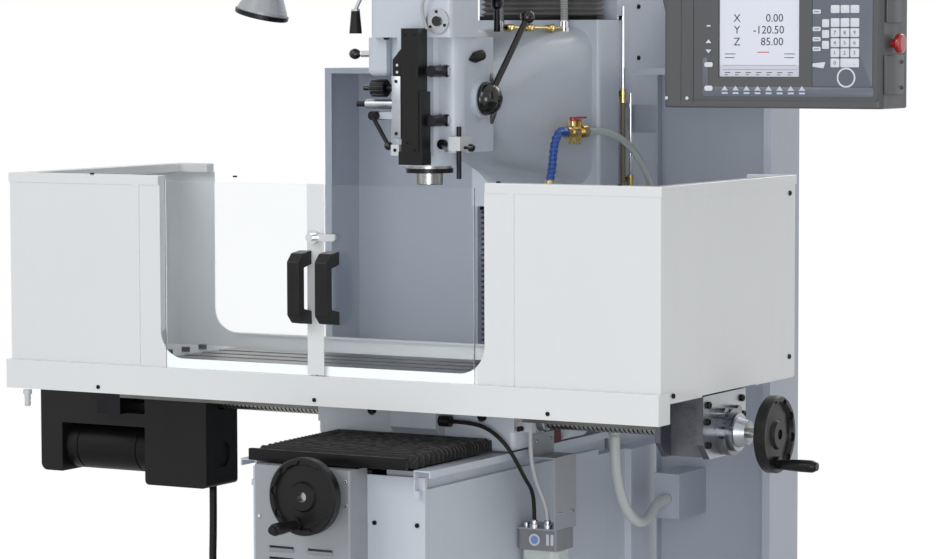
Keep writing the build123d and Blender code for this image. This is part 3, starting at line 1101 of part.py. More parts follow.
def pendant_arm():
    """Tubular arm from the column's right side over to the pendant."""
    end = (PENDANT_X, PENDANT_Y)
    hub = rod_z(34, ARM_X, ARM_Y, (ARM_Z - 45, ARM_Z + 45))
    run = rod_between(ARM_TUBE, (ARM_X, ARM_Y, ARM_Z), (end[0], end[1], ARM_Z))
    drop = rod_z(ARM_TUBE, end[0], end[1], (PENDANT_TOP + 40 + SLIDE_GAP, ARM_Z))
    knee = Pos(end[0], end[1], ARM_Z) * Sphere(ARM_TUBE)
    body = hub + run + drop + knee + rod_z(14, end[0], end[1], (PENDANT_TOP + 6, PENDANT_TOP + 60))
    return body - rod_z(16 + FIT, ARM_X, ARM_Y, (ARM_Z - 46, ARM_Z + 46))


def arm_post(x, z, half):
    """Bracket on the column that carries an upright pivot pin."""
    side = 1 if x > 0 else -1
    y = ARM_Y
    body = block(sorted((side * COLUMN_HALF, side * (COLUMN_HALF + 8))), (y - 50, y + 50),
                 (z - half - 30, z + half + 30))
    for low in (z - half - 12 - SLIDE_GAP, z + half + SLIDE_GAP):
        ear = block(sorted((side * (COLUMN_HALF + 8), x)), (y - 26, y + 26), (low, low + 12))
        body += ear + rod_z(26, x, y, (low, low + 12))
    return body + rod_z(16 if half > 30 else 10, x, y, (z - half - 2, z + half + 2))


def pendant():
    """Control housing: rounded box with a set-back screen window, a key field and a curved side plate."""
    body = block((PENDANT_LEFT, PENDANT_RIGHT), (PENDANT_FRONT, PENDANT_BACK), (PENDANT_BOTTOM, PENDANT_TOP))
    body = fillet(edges_up(body), 12)
    body = fillet(body.faces().sort_by(Axis.Y)[0].edges(), 4)
    screen = block((PENDANT_LEFT + 116, PENDANT_RIGHT - 166), (PENDANT_FRONT - 1, PENDANT_FRONT + 4),
                   (PENDANT_BOTTOM + 58, PENDANT_TOP - 60))
    body -= screen
    keys = block((PENDANT_RIGHT - 140, PENDANT_RIGHT - 18), (PENDANT_FRONT - 1, PENDANT_FRONT + 1.5),
                 (PENDANT_BOTTOM + 40, PENDANT_TOP - 30))
    body -= keys
    outline = make_face(Plane.XZ * (
        Line((PENDANT_LEFT + 6, PENDANT_BOTTOM + 8), (PENDANT_LEFT + 6, PENDANT_TOP - 10))
        + Line((PENDANT_LEFT + 6, PENDANT_TOP - 10), (PENDANT_LEFT - 62, PENDANT_TOP - 10))
        + Line((PENDANT_LEFT - 62, PENDANT_TOP - 10), (PENDANT_LEFT - 62, PENDANT_TOP - 60))
        + ThreePointArc((PENDANT_LEFT - 62, PENDANT_TOP - 60), (PENDANT_LEFT - 22, PENDANT_BOTTOM + 150),
                        (PENDANT_LEFT + 6, PENDANT_BOTTOM + 8))))
    body += Pos(0, -30, 0) * extrude(outline, 6, dir=(0, 1, 0))
    body += rod_z(40, PENDANT_X, PENDANT_Y, (PENDANT_TOP, PENDANT_TOP + 40))
    body -= rod_z(14 + FIT, PENDANT_X, PENDANT_Y, (PENDANT_TOP + 5, PENDANT_TOP + 41))
    body -= rod_x(8 + FIT, (PENDANT_RIGHT - 30, PENDANT_RIGHT + 1), STOP_Y, STOP_Z)
    return body


def stop_button():
    """Mushroom stop button on the pendant's right side."""
    x = PENDANT_RIGHT
    body = rod_x(8, (x - 20, x + 9), STOP_Y, STOP_Z)
    head = rod_x(18, (x + 8, x + 22), STOP_Y, STOP_Z)
    return body + fillet(head.edges().filter_by(GeomType.CIRCLE), 5)


def lamp_arm():
    """Lamp arm on its column pivot: a tube with a ball joint at its end."""
    hub = rod_z(20, LAMP_PIVOT_X, ARM_Y, (LAMP_ARM_Z - 22, LAMP_ARM_Z + 22))
    end = (LAMP_X, LAMP_Y + 20, LAMP_Z + 130)
    elbow = (LAMP_X + 30, LAMP_Y + 60, LAMP_ARM_Z)
    body = hub + rod_between(9, (LAMP_PIVOT_X, ARM_Y, LAMP_ARM_Z), elbow) + Pos(*elbow) * Sphere(12)
    body += rod_between(9, elbow, end) + Pos(*end) * Sphere(11)
    pin = rod_x(5, (LAMP_X - 26, LAMP_X + 26), end[1], end[2])
    body += pin
    return body - rod_z(10 + FIT, LAMP_PIVOT_X, ARM_Y, (LAMP_ARM_Z - 23, LAMP_ARM_Z + 23))


def lamp_head():
    """Round work lamp in a yoke, tilted down at the table, with its lens set into the rim."""
    pivot = (LAMP_X, LAMP_Y + 20, LAMP_Z + 130)
    profile = [(0, 60), (30, 60), (36, 52), (54, 14), (56, 0), (50, 0), (50, 6), (0, 6)]
    face = make_face(Plane.XZ * Polyline(*profile, close=True))
    shade = revolve(face, Axis.Z)
    shade = Pos(LAMP_X, LAMP_Y, LAMP_Z - 20) * Rot(0, 14, 0) * shade
    body = shade
    for side in (-1, 1):
        x = LAMP_X + side * 19
        cheek = [(pivot[1] - 12, pivot[2] + 12), (pivot[1] + 12, pivot[2] + 12), (LAMP_Y + 24, LAMP_Z + 20),
                 (LAMP_Y - 16, LAMP_Z + 24)]
        plate = plate_x(cheek, sorted((x, x + side * 4)))
        plate -= rod_x(5 + FIT, (LAMP_X - 40, LAMP_X + 40), pivot[1], pivot[2])
        body += plate
    return body


# Cords: points chosen along each route
MOTOR_CABLE = ((-556, 40, 628), (-556, 40, 540), (-562, 44, 450), (-556, 50, 362), (-514, 60, 288),
               (-442, 72, 262), (-376, 86, 304), (-356, 98, 384), (-362, 108, 470), (-356, 118, 556),
               (-362, 125, 636), (-350, 130, 711), (-323, 132, 757), (-277, 132, 784), (-228, 132, 784))
SADDLE_CABLE = ((95, -83, 812), (140, -83, 812), (182, -82, 802), (216, -78, 774), (234, -64, 738),
                (238, -38, 702), (237, -4, 674), (231, 16, 638), (231, 16, 595))
OIL_CONDUIT = ((238, -14, 792), (238, -14, 757), (240, -10, 722), (244, 0, 688), (252, 14, 656),
               (258, 22, 626), (258, 22, 595))
DRAIN_HOSE = ((300, 235, 765), (300, 235, 706), (305, 244, 648), (311, 272, 598), (315, 320, 570),
              (311, 376, 576), (300, 430, 602), (300, 480, 602))
COOLANT_HOSE = ((165, 361, 1379), (165, 420, 1379), (170, 478, 1372), (178, 534, 1350), (184, 584, 1312),
                (188, 624, 1262), (190, 652, 1204), (192, 672, 1146), (194, 684, 1088), (195, 688, 1030),
                (196, 686, 971), (197, 710, 929), (198, 752, 905), (198, 800, 905))


def pieces():
    """Every node of the machine by name."""
    made = {
        "base_casting": base_casting(),
        "y_drive_box": y_drive_box(),
        "column": column() + arm_post(ARM_X, ARM_Z, 45) + arm_post(LAMP_PIVOT_X, LAMP_ARM_Z, 22),
        "z_motor": z_motor(),
        "left_splash_pan": splash_pan(-1),
        "right_splash_pan": right_splash_pan(),
        "electrical_cabinet": electrical_cabinet(),
        "oil_lines": oil_lines(),
        "y_bellows": y_bellows(),
        "z_bellows": z_bellows(),
        "x_screw": x_screw(),
        "y_screw": y_screw(),
        "z_screw": z_screw(),
        "x_handwheel": on_x_screw(wheel_blank()),
        "x_grip": on_x_screw(grip_blank()),
        "y_handwheel": on_y_screw(wheel_blank()),
        "y_grip": on_y_screw(grip_blank()),
        "saddle": saddle(),
        "lubricator_bracket": lubricator_bracket(),
        "oil_pump": oil_pump(),
        "table": table(),
        "end_brackets": end_brackets(),
        "x_drive_housing": x_drive_housing(),
        "x_motor": x_motor(),
        "guard_apron": guard_apron(),
        "door_frame": door_frame(),
        "left_guard_panel": guard_panel(-1),
        "right_guard_panel": guard_panel(1),
        "guard_back_wall": guard_back_wall(),
        "left_door": door(-1),
        "right_door": door(1),
        "door_stile": door_stile(),
        "left_handle": handle(TABLE_X - HANDLE_LEFT, DOOR_BACK - DOOR_THICK - SHEET),
        "right_handle": handle(TABLE_X + HANDLE_RIGHT, DOOR_BACK - DOOR_THICK),
        "door_latch": latch(),
        "ram": ram(),
        "coolant_valve": coolant_valve(),
        "coolant_lever": coolant_lever(),
        "coolant_spout": coolant_spout(),
        "head_casting": head_casting(),
        "belt_housing": belt_housing(),
        "spindle_motor": spindle_motor(),
        "scale_cover": scale_cover(),
        "quill": quill(),
        "spindle": spindle(),
        "feed_lever": feed_lever(),
        "quill_lock": quill_lock(),
        "range_lever": range_lever(),
        "trip_lever": trip_lever(),
        "feed_knob": feed_knob(),
        "pendant_arm": pendant_arm(),
        "control_pendant": pendant(),
        "stop_button": stop_button(),
        "lamp_arm": lamp_arm(),
        "lamp_head": lamp_head(),
        "x_motor_cable": tube("x_motor_cable", MOTOR_CABLE, 8),
        "saddle_cable": tube("saddle_cable", SADDLE_CABLE, 4),
        "oil_conduit": tube("oil_conduit", OIL_CONDUIT, 4.5),
        "drain_hose": tube("drain_hose", DRAIN_HOSE, 11),
        "coolant_hose": tube("coolant_hose", COOLANT_HOSE, 7.5),
    }
    return made


def main():
    os.makedirs("parts", exist_ok=True)
    for name, made in pieces().items():
        solids = []
        for shape in made if isinstance(made, list) else [made]:
            solids += shape.solids()
        whole = Compound(children=solids) if len(solids) > 1 else solids[0]
        export_step(whole, f"parts/{name}.step")


main()
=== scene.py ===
import json
import math
import bmesh
import bpy
from mathutils import Matrix, Vector


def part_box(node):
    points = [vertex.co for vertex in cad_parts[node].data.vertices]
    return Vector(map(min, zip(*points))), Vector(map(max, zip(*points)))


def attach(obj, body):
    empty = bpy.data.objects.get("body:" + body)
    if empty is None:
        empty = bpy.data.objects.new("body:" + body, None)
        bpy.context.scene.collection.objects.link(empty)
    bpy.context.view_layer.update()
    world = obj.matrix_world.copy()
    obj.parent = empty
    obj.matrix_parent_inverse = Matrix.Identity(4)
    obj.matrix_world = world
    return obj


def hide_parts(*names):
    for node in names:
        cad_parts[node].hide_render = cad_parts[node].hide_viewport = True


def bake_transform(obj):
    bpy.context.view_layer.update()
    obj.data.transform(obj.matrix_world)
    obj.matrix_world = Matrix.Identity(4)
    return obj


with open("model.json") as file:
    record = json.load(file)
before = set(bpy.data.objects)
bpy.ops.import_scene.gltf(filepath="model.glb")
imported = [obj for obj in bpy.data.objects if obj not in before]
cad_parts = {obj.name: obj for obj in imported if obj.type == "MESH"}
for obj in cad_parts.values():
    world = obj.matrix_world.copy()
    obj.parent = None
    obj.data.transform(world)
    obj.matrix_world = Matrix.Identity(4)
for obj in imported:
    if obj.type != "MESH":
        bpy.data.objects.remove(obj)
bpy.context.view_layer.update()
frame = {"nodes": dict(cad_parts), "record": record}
nodes = frame["nodes"]
MM = 0.001
UP = Vector((0, 0, 1))
FRONT, BACK, RIGHT, LEFT, TOP = (0, -1, 0), (0, 1, 0), (1, 0, 0), (-1, 0, 0), (0, 0, 1)


def mm(x, y, z):
    """Point in metres from millimetres in the machine's frame."""
    return Vector((x, y, z)) * MM


def rgb(red, green, blue):
    """Linear colour of a display colour given from 0 to 255."""
    levels = [c / 255 for c in (red, green, blue)]
    linear = [c / 12.92 if c <= 0.04045 else ((c + 0.055) / 1.055) ** 2.4 for c in levels]
    return (*linear, 1.0)


def scaled(colour, factor, lift=0.0):
    """Colour with its three levels times a factor plus a lift, each at most 1."""
    return tuple(min(1.0, c * factor + lift) for c in colour[:3]) + (1.0,)


# Texture scales in repeats per metre, and bump depths in metres.

TONE_SCALE, SOIL_RUNS, CHIP_SCALE, STAIN_SCALE = 5.0, (30.0, 30.0, 4.0), 60.0, 14.0
WEAVE_SCALE, DUST_SCALE, SCUFF_SCALE, PATCH_SCALE = 400.0, 25.0, 70.0, 3.0
PIXEL_SCALE, FLOOR_SCALE = 900.0, 2.0
PEEL_DEPTH, MARK_DEPTH, GRAIN_DEPTH = 0.0006, 0.0003, 0.0004
WEAVE_DEPTH, RING_DEPTH = 0.0003, 0.0012


# Shader helpers, and the effects that the finishes share.

def place(tree, kind, sockets=None, **settings):
    """Adds a shader node, applies its settings, and joins or fills the given sockets."""
    made = tree.nodes.new("ShaderNode" + kind)
    for name, value in settings.items():
        setattr(made, name, value)
    for name, value in (sockets or {}).items():
        if isinstance(value, bpy.types.NodeSocket):
            tree.links.new(value, made.inputs[name])
        else:
            made.inputs[name].default_value = value
    return made


def object_place(tree):
    """Place on the piece, in its own coordinates."""
    return place(tree, "TexCoord").outputs["Object"]


def maths(tree, operation, *values):
    """Output of a Math node over two or three values."""
    return place(tree, "Math", dict(enumerate(values)), operation=operation).outputs[0]


def noise(tree, at, scale, detail, roughness=0.5):
    """Output of a noise texture."""
    sockets = {"Vector": at, "Scale": scale, "Detail": detail, "Roughness": roughness}
    return place(tree, "TexNoise", sockets).outputs[0]


def waves(tree, at, scale, direction, distortion=0.0, detail=2.0):
    """Output of a texture of bands across one direction."""
    sockets = {"Vector": at, "Scale": scale, "Distortion": distortion, "Detail": detail}
    return place(tree, "TexWave", sockets, bands_direction=direction).outputs["Fac"]


def ranged(tree, value, source=(0.0, 1.0), result=(0.0, 1.0)):
    """Value mapped from one range to another, and held within it."""
    sockets = {"Value": value, "From Min": source[0], "From Max": source[1],
               "To Min": result[0], "To Max": result[1]}
    return place(tree, "MapRange", sockets).outputs[0]


def new_group(name, inputs, outputs):
    """Starts a shader group with number outputs; returns its tree, its inputs and its outputs."""
    tree = bpy.data.node_groups.new(name, "ShaderNodeTree")
    for title, value in inputs:
        kind = "NodeSocketVector" if isinstance(value, tuple) else "NodeSocketFloat"
        tree.interface.new_socket(title, in_out="INPUT", socket_type=kind).default_value = value
    for title in outputs:
        tree.interface.new_socket(title, in_out="OUTPUT", socket_type="NodeSocketFloat")
    into, out = tree.nodes.new("NodeGroupInput"), tree.nodes.new("NodeGroupOutput")
    return tree, into.outputs, out.inputs


def enamel_skin_group():
    """Enamel's skin: broad tone changes, light soiling and the fine peel that the bump reads."""
    tree, into, out = new_group("enamel_skin", [("Peel Size", 900.0), ("Tone Range", 0.06)],
                                ["Tone", "Soil", "Peel"])
    at = object_place(tree)
    centred = maths(tree, "SUBTRACT", noise(tree, at, TONE_SCALE, 4.0, roughness=0.6), 0.5)
    tone = maths(tree, "MULTIPLY_ADD", centred, into["Tone Range"], 1.0)
    runs = place(tree, "Mapping", {"Vector": at, "Scale": SOIL_RUNS})
    soil = ranged(tree, noise(tree, runs.outputs[0], 1.0, 5.0), (0.52, 0.74))
    peel = noise(tree, at, into["Peel Size"], 2.0)
    for title, value in (("Tone", tone), ("Soil", soil), ("Peel", peel)):
        tree.links.new(value, out[title])
    return tree


def edge_wear_group():
    """Broken mask of convex edges, from the angle between a piece's own and a rounded normal."""
    tree, into, out = new_group("edge_wear", [("Width", 0.0015), ("Amount", 1.0)], ["Edge"])
    soft_normal = place(tree, "Bevel", {"Radius": into["Width"]}, samples=4).outputs[0]
    own_normal = place(tree, "NewGeometry").outputs["Normal"]
    match = place(tree, "VectorMath", {0: soft_normal, 1: own_normal}, operation="DOT_PRODUCT")
    turned_away = ranged(tree, match.outputs["Value"], (0.995, 0.90))
    patchy = ranged(tree, noise(tree, object_place(tree), CHIP_SCALE, 4.0), (0.35, 0.65))
    both = maths(tree, "MULTIPLY", turned_away, patchy)
    tree.links.new(maths(tree, "MULTIPLY", both, into["Amount"]), out["Edge"])
    return tree


def tool_marks_group():
    """Fine parallel tool marks that run along one axis of the piece, and stains over them."""
    tree, into, out = new_group("tool_marks", [("Stretch", (20.0, 1500.0, 1500.0))],
                                ["Marks", "Stains"])
    at = object_place(tree)
    drawn = place(tree, "Mapping", {"Vector": at, "Scale": into["Stretch"]})
    tree.links.new(noise(tree, drawn.outputs[0], 1.0, 3.0), out["Marks"])
    tree.links.new(noise(tree, at, STAIN_SCALE, 5.0), out["Stains"])
    return tree


SKIN = enamel_skin_group()
WEAR = edge_wear_group()
MARKS = tool_marks_group()


def use_group(tree, group, **values):
    """Places a shared effect in a material with its own values; returns its outputs."""
    made = tree.nodes.new("ShaderNodeGroup")
    made.node_tree = group
    for name, value in values.items():
        made.inputs[name.replace("_", " ")].default_value = value
    return made.outputs


def start_material(name, **settings):
    """New material with its tree and its Principled shader, whose plain sockets are set."""
    material = bpy.data.materials.new(name)
    material.use_nodes = True
    tree = material.node_tree
    shader = tree.nodes["Principled BSDF"]
    for title, value in settings.items():
        shader.inputs[title.replace("_", " ")].default_value = value
    return material, tree, shader


def blend_colour(tree, factor, first, second):
    """Mixes two colours by a mask; a Mix node's colour sockets are numbers 6 and 7."""
    made = tree.nodes.new("ShaderNodeMix")
    made.data_type = "RGBA"
    for index, value in ((0, factor), (6, first), (7, second)):
        if isinstance(value, bpy.types.NodeSocket):
            tree.links.new(value, made.inputs[index])
        else:
            made.inputs[index].default_value = value
    return made.outputs[2]


def wire(tree, shader, colour, gloss, height, strength, distance):
    """Joins a colour, a roughness and a bump that follows a height to the shader."""
    bump = place(tree, "Bump", {"Height": height, "Strength": strength, "Distance": distance})
    links = (("Base Color", colour), ("Roughness", gloss), ("Normal", bump.outputs[0]))
    for title, value in links:
        tree.links.new(value, shader.inputs[title])


def enamel(name, colour, roughness=0.38, coat=0.25, peel=1100.0, bump=0.05, tone=0.07, soil=0.10,
           edge=0.35, shine=0.5):
    """Sprayed paint: tone drift, faint runs of soil, orange peel and edges rubbed paler."""
    material, tree, shader = start_material(name, Coat_Weight=coat, Coat_Roughness=0.12,
                                            Specular_IOR_Level=shine)
    skin = use_group(tree, SKIN, Peel_Size=peel, Tone_Range=tone)
    wear = use_group(tree, WEAR, Amount=edge)
    soil_mask = maths(tree, "MULTIPLY", skin["Soil"], soil)
    soiled = blend_colour(tree, soil_mask, colour, scaled(colour, 0.62))
    drift = ranged(tree, skin["Tone"], (1 - tone, 1 + tone))
    drifted = blend_colour(tree, drift, scaled(colour, 1 - tone), soiled)
    worn = blend_colour(tree, wear["Edge"], drifted, scaled(colour, 1.35, 0.03))
    gloss = ranged(tree, skin["Soil"], result=(roughness, roughness + 0.12))
    wire(tree, shader, worn, gloss, skin["Peel"], bump, PEEL_DEPTH)
    return material


def machined(name, colour, roughness=0.28, stretch=(20.0, 1500.0, 1500.0), stain=0.25, bump=0.06):
    """Bare metal with tool marks along one axis and an uneven film of oil."""
    material, tree, shader = start_material(name, Metallic=1.0)
    marks = use_group(tree, MARKS, Stretch=stretch)
    film = ranged(tree, marks["Stains"], (0.35, 0.7))
    oiled = blend_colour(tree, film, colour, scaled(colour, 1 - stain))
    gloss = ranged(tree, marks["Marks"], (0.3, 0.7), (roughness * 0.75, roughness * 1.35))
    wire(tree, shader, oiled, gloss, marks["Marks"], bump, MARK_DEPTH)
    return material


def moulding(name, colour, roughness=0.45, bump=0.12, coat=0.0, shine=0.5):
    """Moulded plastic or rubber with a fine spark grain and slightly paler edges."""
    material, tree, shader = start_material(name, Coat_Weight=coat, Coat_Roughness=0.1,
                                            Specular_IOR_Level=shine)
    skin = use_group(tree, SKIN, Peel_Size=1800.0, Tone_Range=0.12)
    wear = use_group(tree, WEAR, Width=0.001, Amount=0.25)
    tone = ranged(tree, skin["Tone"], (0.94, 1.06))
    faded = blend_colour(tree, tone, scaled(colour, 0.8), colour)
    worn = blend_colour(tree, wear["Edge"], faded, scaled(colour, 1.6, 0.02))
    gloss = ranged(tree, skin["Soil"], result=(roughness, roughness + 0.15))
    wire(tree, shader, worn, gloss, skin["Peel"], bump, GRAIN_DEPTH)
    return material


def pleat_cloth(name, dark, dusty, fold):
    """Coated cloth of the bellows: a tight weave under a dull black coat, greyer on the folds."""
    material, tree, shader = start_material(name, Sheen_Weight=0.12, Sheen_Roughness=0.6,
                                            Specular_IOR_Level=0.2)
    at = object_place(tree)
    weave = maths(tree, "MULTIPLY", waves(tree, at, WEAVE_SCALE, "X"),
                  waves(tree, at, WEAVE_SCALE, "DIAGONAL"))
    wear = use_group(tree, WEAR, Width=0.002, Amount=0.6)
    dust = noise(tree, at, DUST_SCALE, 4.0)
    worn = blend_colour(tree, wear["Edge"], blend_colour(tree, dust, dark, dusty), fold)
    wire(tree, shader, worn, ranged(tree, dust, result=(0.5, 0.75)), weave, 0.2, WEAVE_DEPTH)
    return material


def clear_sheet(name, tint, roughness=0.02, clear=1.0):
    """Clear plastic that lets light through to what is behind, with faint scuffs in its gloss."""
    material, tree, shader = start_material(name, Transmission_Weight=clear, IOR=1.35)
    at = object_place(tree)
    patchy = blend_colour(tree, noise(tree, at, PATCH_SCALE, 2.0), tint, scaled(tint, 0.97))
    scuffs = noise(tree, at, SCUFF_SCALE, 6.0)
    gloss = ranged(tree, scuffs, (0.45, 0.75), (roughness, roughness + 0.06))
    tree.links.new(patchy, shader.inputs["Base Color"])
    tree.links.new(gloss, shader.inputs["Roughness"])
    through = place(tree, "BsdfTransparent", {"Color": tint}).outputs[0]
    shadow = place(tree, "LightPath").outputs["Is Shadow Ray"]
    mix = place(tree, "MixShader", {0: shadow, 1: shader.outputs[0], 2: through})
    tree.links.new(mix.outputs[0], tree.nodes["Material Output"].inputs["Surface"])
    return material


def ribbed(name, colour, pitch, roughness, depth=0.5):
    """Segmented or braided hose: rings across its upright run, with painted shade darkening the
    grooves.
    """
    material, tree, shader = start_material(name, Coat_Weight=0.2, Coat_Roughness=0.15)
    rings = waves(tree, object_place(tree), 1 / (pitch * MM) / math.pi, "Z", 0.3, 1.0)
    # Painted shade: the grooves between rings are darkened to 0.55 of the colour.
    painted_groove_shade = blend_colour(tree, rings, scaled(colour, 0.55), colour)
    gloss = ranged(tree, rings, result=(roughness + 0.2, roughness))
    wire(tree, shader, painted_groove_shade, gloss, rings, depth, RING_DEPTH)
    return material


def lit_screen():
    """Liquid crystal screen behind its pane: pale grey, darker band below, fine pixel rows."""
    material, tree, shader = start_material("screen_face", Roughness=0.16, Coat_Weight=0.6,
                                            Coat_Roughness=0.05, Emission_Strength=0.25)
    at = object_place(tree)
    band = ranged(tree, place(tree, "SeparateXYZ", {0: at}).outputs["Z"], (1.520, 1.523))
    rows = ranged(tree, waves(tree, at, PIXEL_SCALE, "Z"), result=(0.0, 0.12))
    plain = blend_colour(tree, band, rgb(186, 188, 200), rgb(203, 206, 218))
    colour = blend_colour(tree, rows, plain, rgb(150, 152, 165))
    for title in ("Base Color", "Emission Color"):
        tree.links.new(colour, shader.inputs[title])
    return material


CAST = enamel("casting_enamel", rgb(195, 203, 214), roughness=0.42, peel=800.0, bump=0.07)
CABINET = enamel("cabinet_coat", rgb(162, 169, 180), roughness=0.40, soil=0.08)
PAN = enamel("pan_coat", rgb(166, 174, 187), roughness=0.36)
GUARD = enamel("guard_coat", rgb(224, 227, 229), roughness=0.33, coat=0.35, soil=0.05, edge=0.5)
BOX = enamel("drive_box_coat", rgb(150, 154, 160), roughness=0.42)
PENDANT = enamel("pendant_coat", rgb(74, 76, 79), roughness=0.48, coat=0.1, peel=1500.0,
                 bump=0.14, edge=0.5)
PANEL_GREY = enamel("key_panel_film", rgb(92, 100, 112), roughness=0.40, coat=0.1, edge=0.2)
MOTOR_BLACK = enamel("motor_black", rgb(20, 19, 20), roughness=0.34, coat=0.0, edge=0.4, shine=0.16)
MOTOR_PAINT = enamel("motor_enamel", rgb(150, 158, 169), roughness=0.4)
LAMP = enamel("lamp_enamel", rgb(170, 174, 178), roughness=0.35)
ARCH_RED = enamel("arch_primer", rgb(82, 30, 26), roughness=0.55, coat=0.0, soil=0.4, edge=0.1)
PALE_GREY = enamel("pale_grey_block", rgb(204, 208, 212), roughness=0.4)
BLACK = moulding("black_moulding", rgb(26, 26, 26), roughness=0.30, bump=0.08, shine=0.22)
GLOSS_BLACK = moulding("black_gloss", rgb(16, 16, 17), roughness=0.10, bump=0.01, coat=0.1,
                       shine=0.45)
CABLE = moulding("black_cable", rgb(24, 24, 25), shine=0.25)
CONDUIT = moulding("grey_conduit", rgb(186, 190, 192), roughness=0.42)
HOSE_GREY = moulding("grey_hose", rgb(196, 202, 204), roughness=0.38, bump=0.05)
KEY_WHITE = moulding("key_pale", rgb(222, 226, 236), roughness=0.38, bump=0.04)
KEY_BLUE = moulding("key_blue_grey", rgb(198, 206, 226), roughness=0.38, bump=0.04)
INK = moulding("printed_ink", rgb(58, 62, 74), roughness=0.6, bump=0.02)
RED_INK = moulding("red_mark", rgb(196, 60, 56), roughness=0.5, bump=0.02)
RED = moulding("red_grip", rgb(170, 26, 24), roughness=0.25, bump=0.02, coat=0.5)
DIAL_BLUE = moulding("dial_blue", rgb(120, 150, 206), roughness=0.3, bump=0.02, coat=0.3)
PUMP = moulding("pump_moulding", rgb(128, 131, 136), roughness=0.4)
GROUND = machined("ground_steel", rgb(176, 176, 174), roughness=0.26)
TABLE_STEEL = machined("table_steel", rgb(118, 118, 116), roughness=0.34,
                       stretch=(12.0, 900.0, 900.0), stain=0.35)
DARK = machined("black_oxide", rgb(46, 46, 50), roughness=0.34, stretch=(700.0, 700.0, 700.0))
CHROME = machined("bright_chrome", rgb(214, 216, 220), roughness=0.10,
                  stretch=(300.0, 300.0, 30.0), bump=0.02)
ALUMINIUM = machined("turned_aluminium", rgb(172, 176, 182), roughness=0.32,
                     stretch=(500.0, 500.0, 500.0), stain=0.18, bump=0.03)
HOUSING = machined("polished_housing", rgb(128, 130, 135), roughness=0.22,
                   stretch=(30.0, 30.0, 30.0), bump=0.02)
CAST_STEEL = machined("cast_bracket", rgb(104, 106, 112), roughness=0.46,
                      stretch=(260.0, 260.0, 260.0), bump=0.35)
BRASS = machined("brass", rgb(206, 184, 128), roughness=0.26, stretch=(600.0, 600.0, 60.0))
# Steel of the table screw, darkened to paint in the shade that it lies in.
SHADED_SCREW_STEEL = machined("screw_steel_painted_shade", rgb(62, 58, 54), roughness=0.35,
                       stretch=(40.0, 600.0, 600.0))
CLOTH = pleat_cloth("bellows_cloth", rgb(18, 18, 19), rgb(32, 32, 34), rgb(112, 112, 114))
FADED_CLOTH = pleat_cloth("faded_bellows_cloth", rgb(92, 92, 91), rgb(118, 117, 115),
                          rgb(150, 149, 147))
CLEAR = clear_sheet("clear_sheet", (0.955, 0.975, 0.985, 1.0))
CLEAR_HOSE = clear_sheet("clear_hose", (0.72, 0.77, 0.76, 1.0), roughness=0.18, clear=0.45)
LENS = moulding("lamp_lens", rgb(238, 240, 246), roughness=0.12, bump=0.03, coat=0.6)
BLUE_HOSE = ribbed("blue_links", rgb(38, 92, 186), 9.0, 0.3, depth=0.9)
BRAID = ribbed("braided_hose", rgb(132, 126, 98), 3.0, 0.35)
COIL = ribbed("coiled_sleeve", rgb(172, 174, 172), 5.0, 0.25, depth=0.9)
SCREEN = lit_screen()

SLOT_FINISH = {
    "casting_paint": CAST, "cabinet_paint": CABINET, "pan_paint": PAN, "guard_paint": GUARD,
    "box_paint": BOX, "black_plastic": BLACK, "pendant_plastic": PENDANT, "way_cloth": CLOTH,
    "ground_steel": GROUND, "dark_steel": DARK, "bright_steel": CHROME,
    "motor_black": MOTOR_BLACK, "motor_paint": MOTOR_PAINT, "clear_plastic": CLEAR,
    "brass": BRASS, "red_grip": RED, "blue_plastic": BLUE_HOSE, "pump_body": PUMP,
    "cable_black": CABLE, "conduit_grey": CONDUIT, "hose_grey": HOSE_GREY,
    "hose_clear": CLEAR_HOSE, "lamp_paint": LAMP,
}


SPOUT_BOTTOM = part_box("coolant_spout")[0].z / MM


def near(a, b, reach):
    """Whether two values lie within a reach of each other."""
    return abs(a - b) < reach


def any_face(x, y, z):
    """Test that every face passes."""
    return True


def floor_bolt(z, y):
    """Whether a face is on a bolt head in a guard's floor plate."""
    return 910.3 < z < 921 and -60 < y < 130


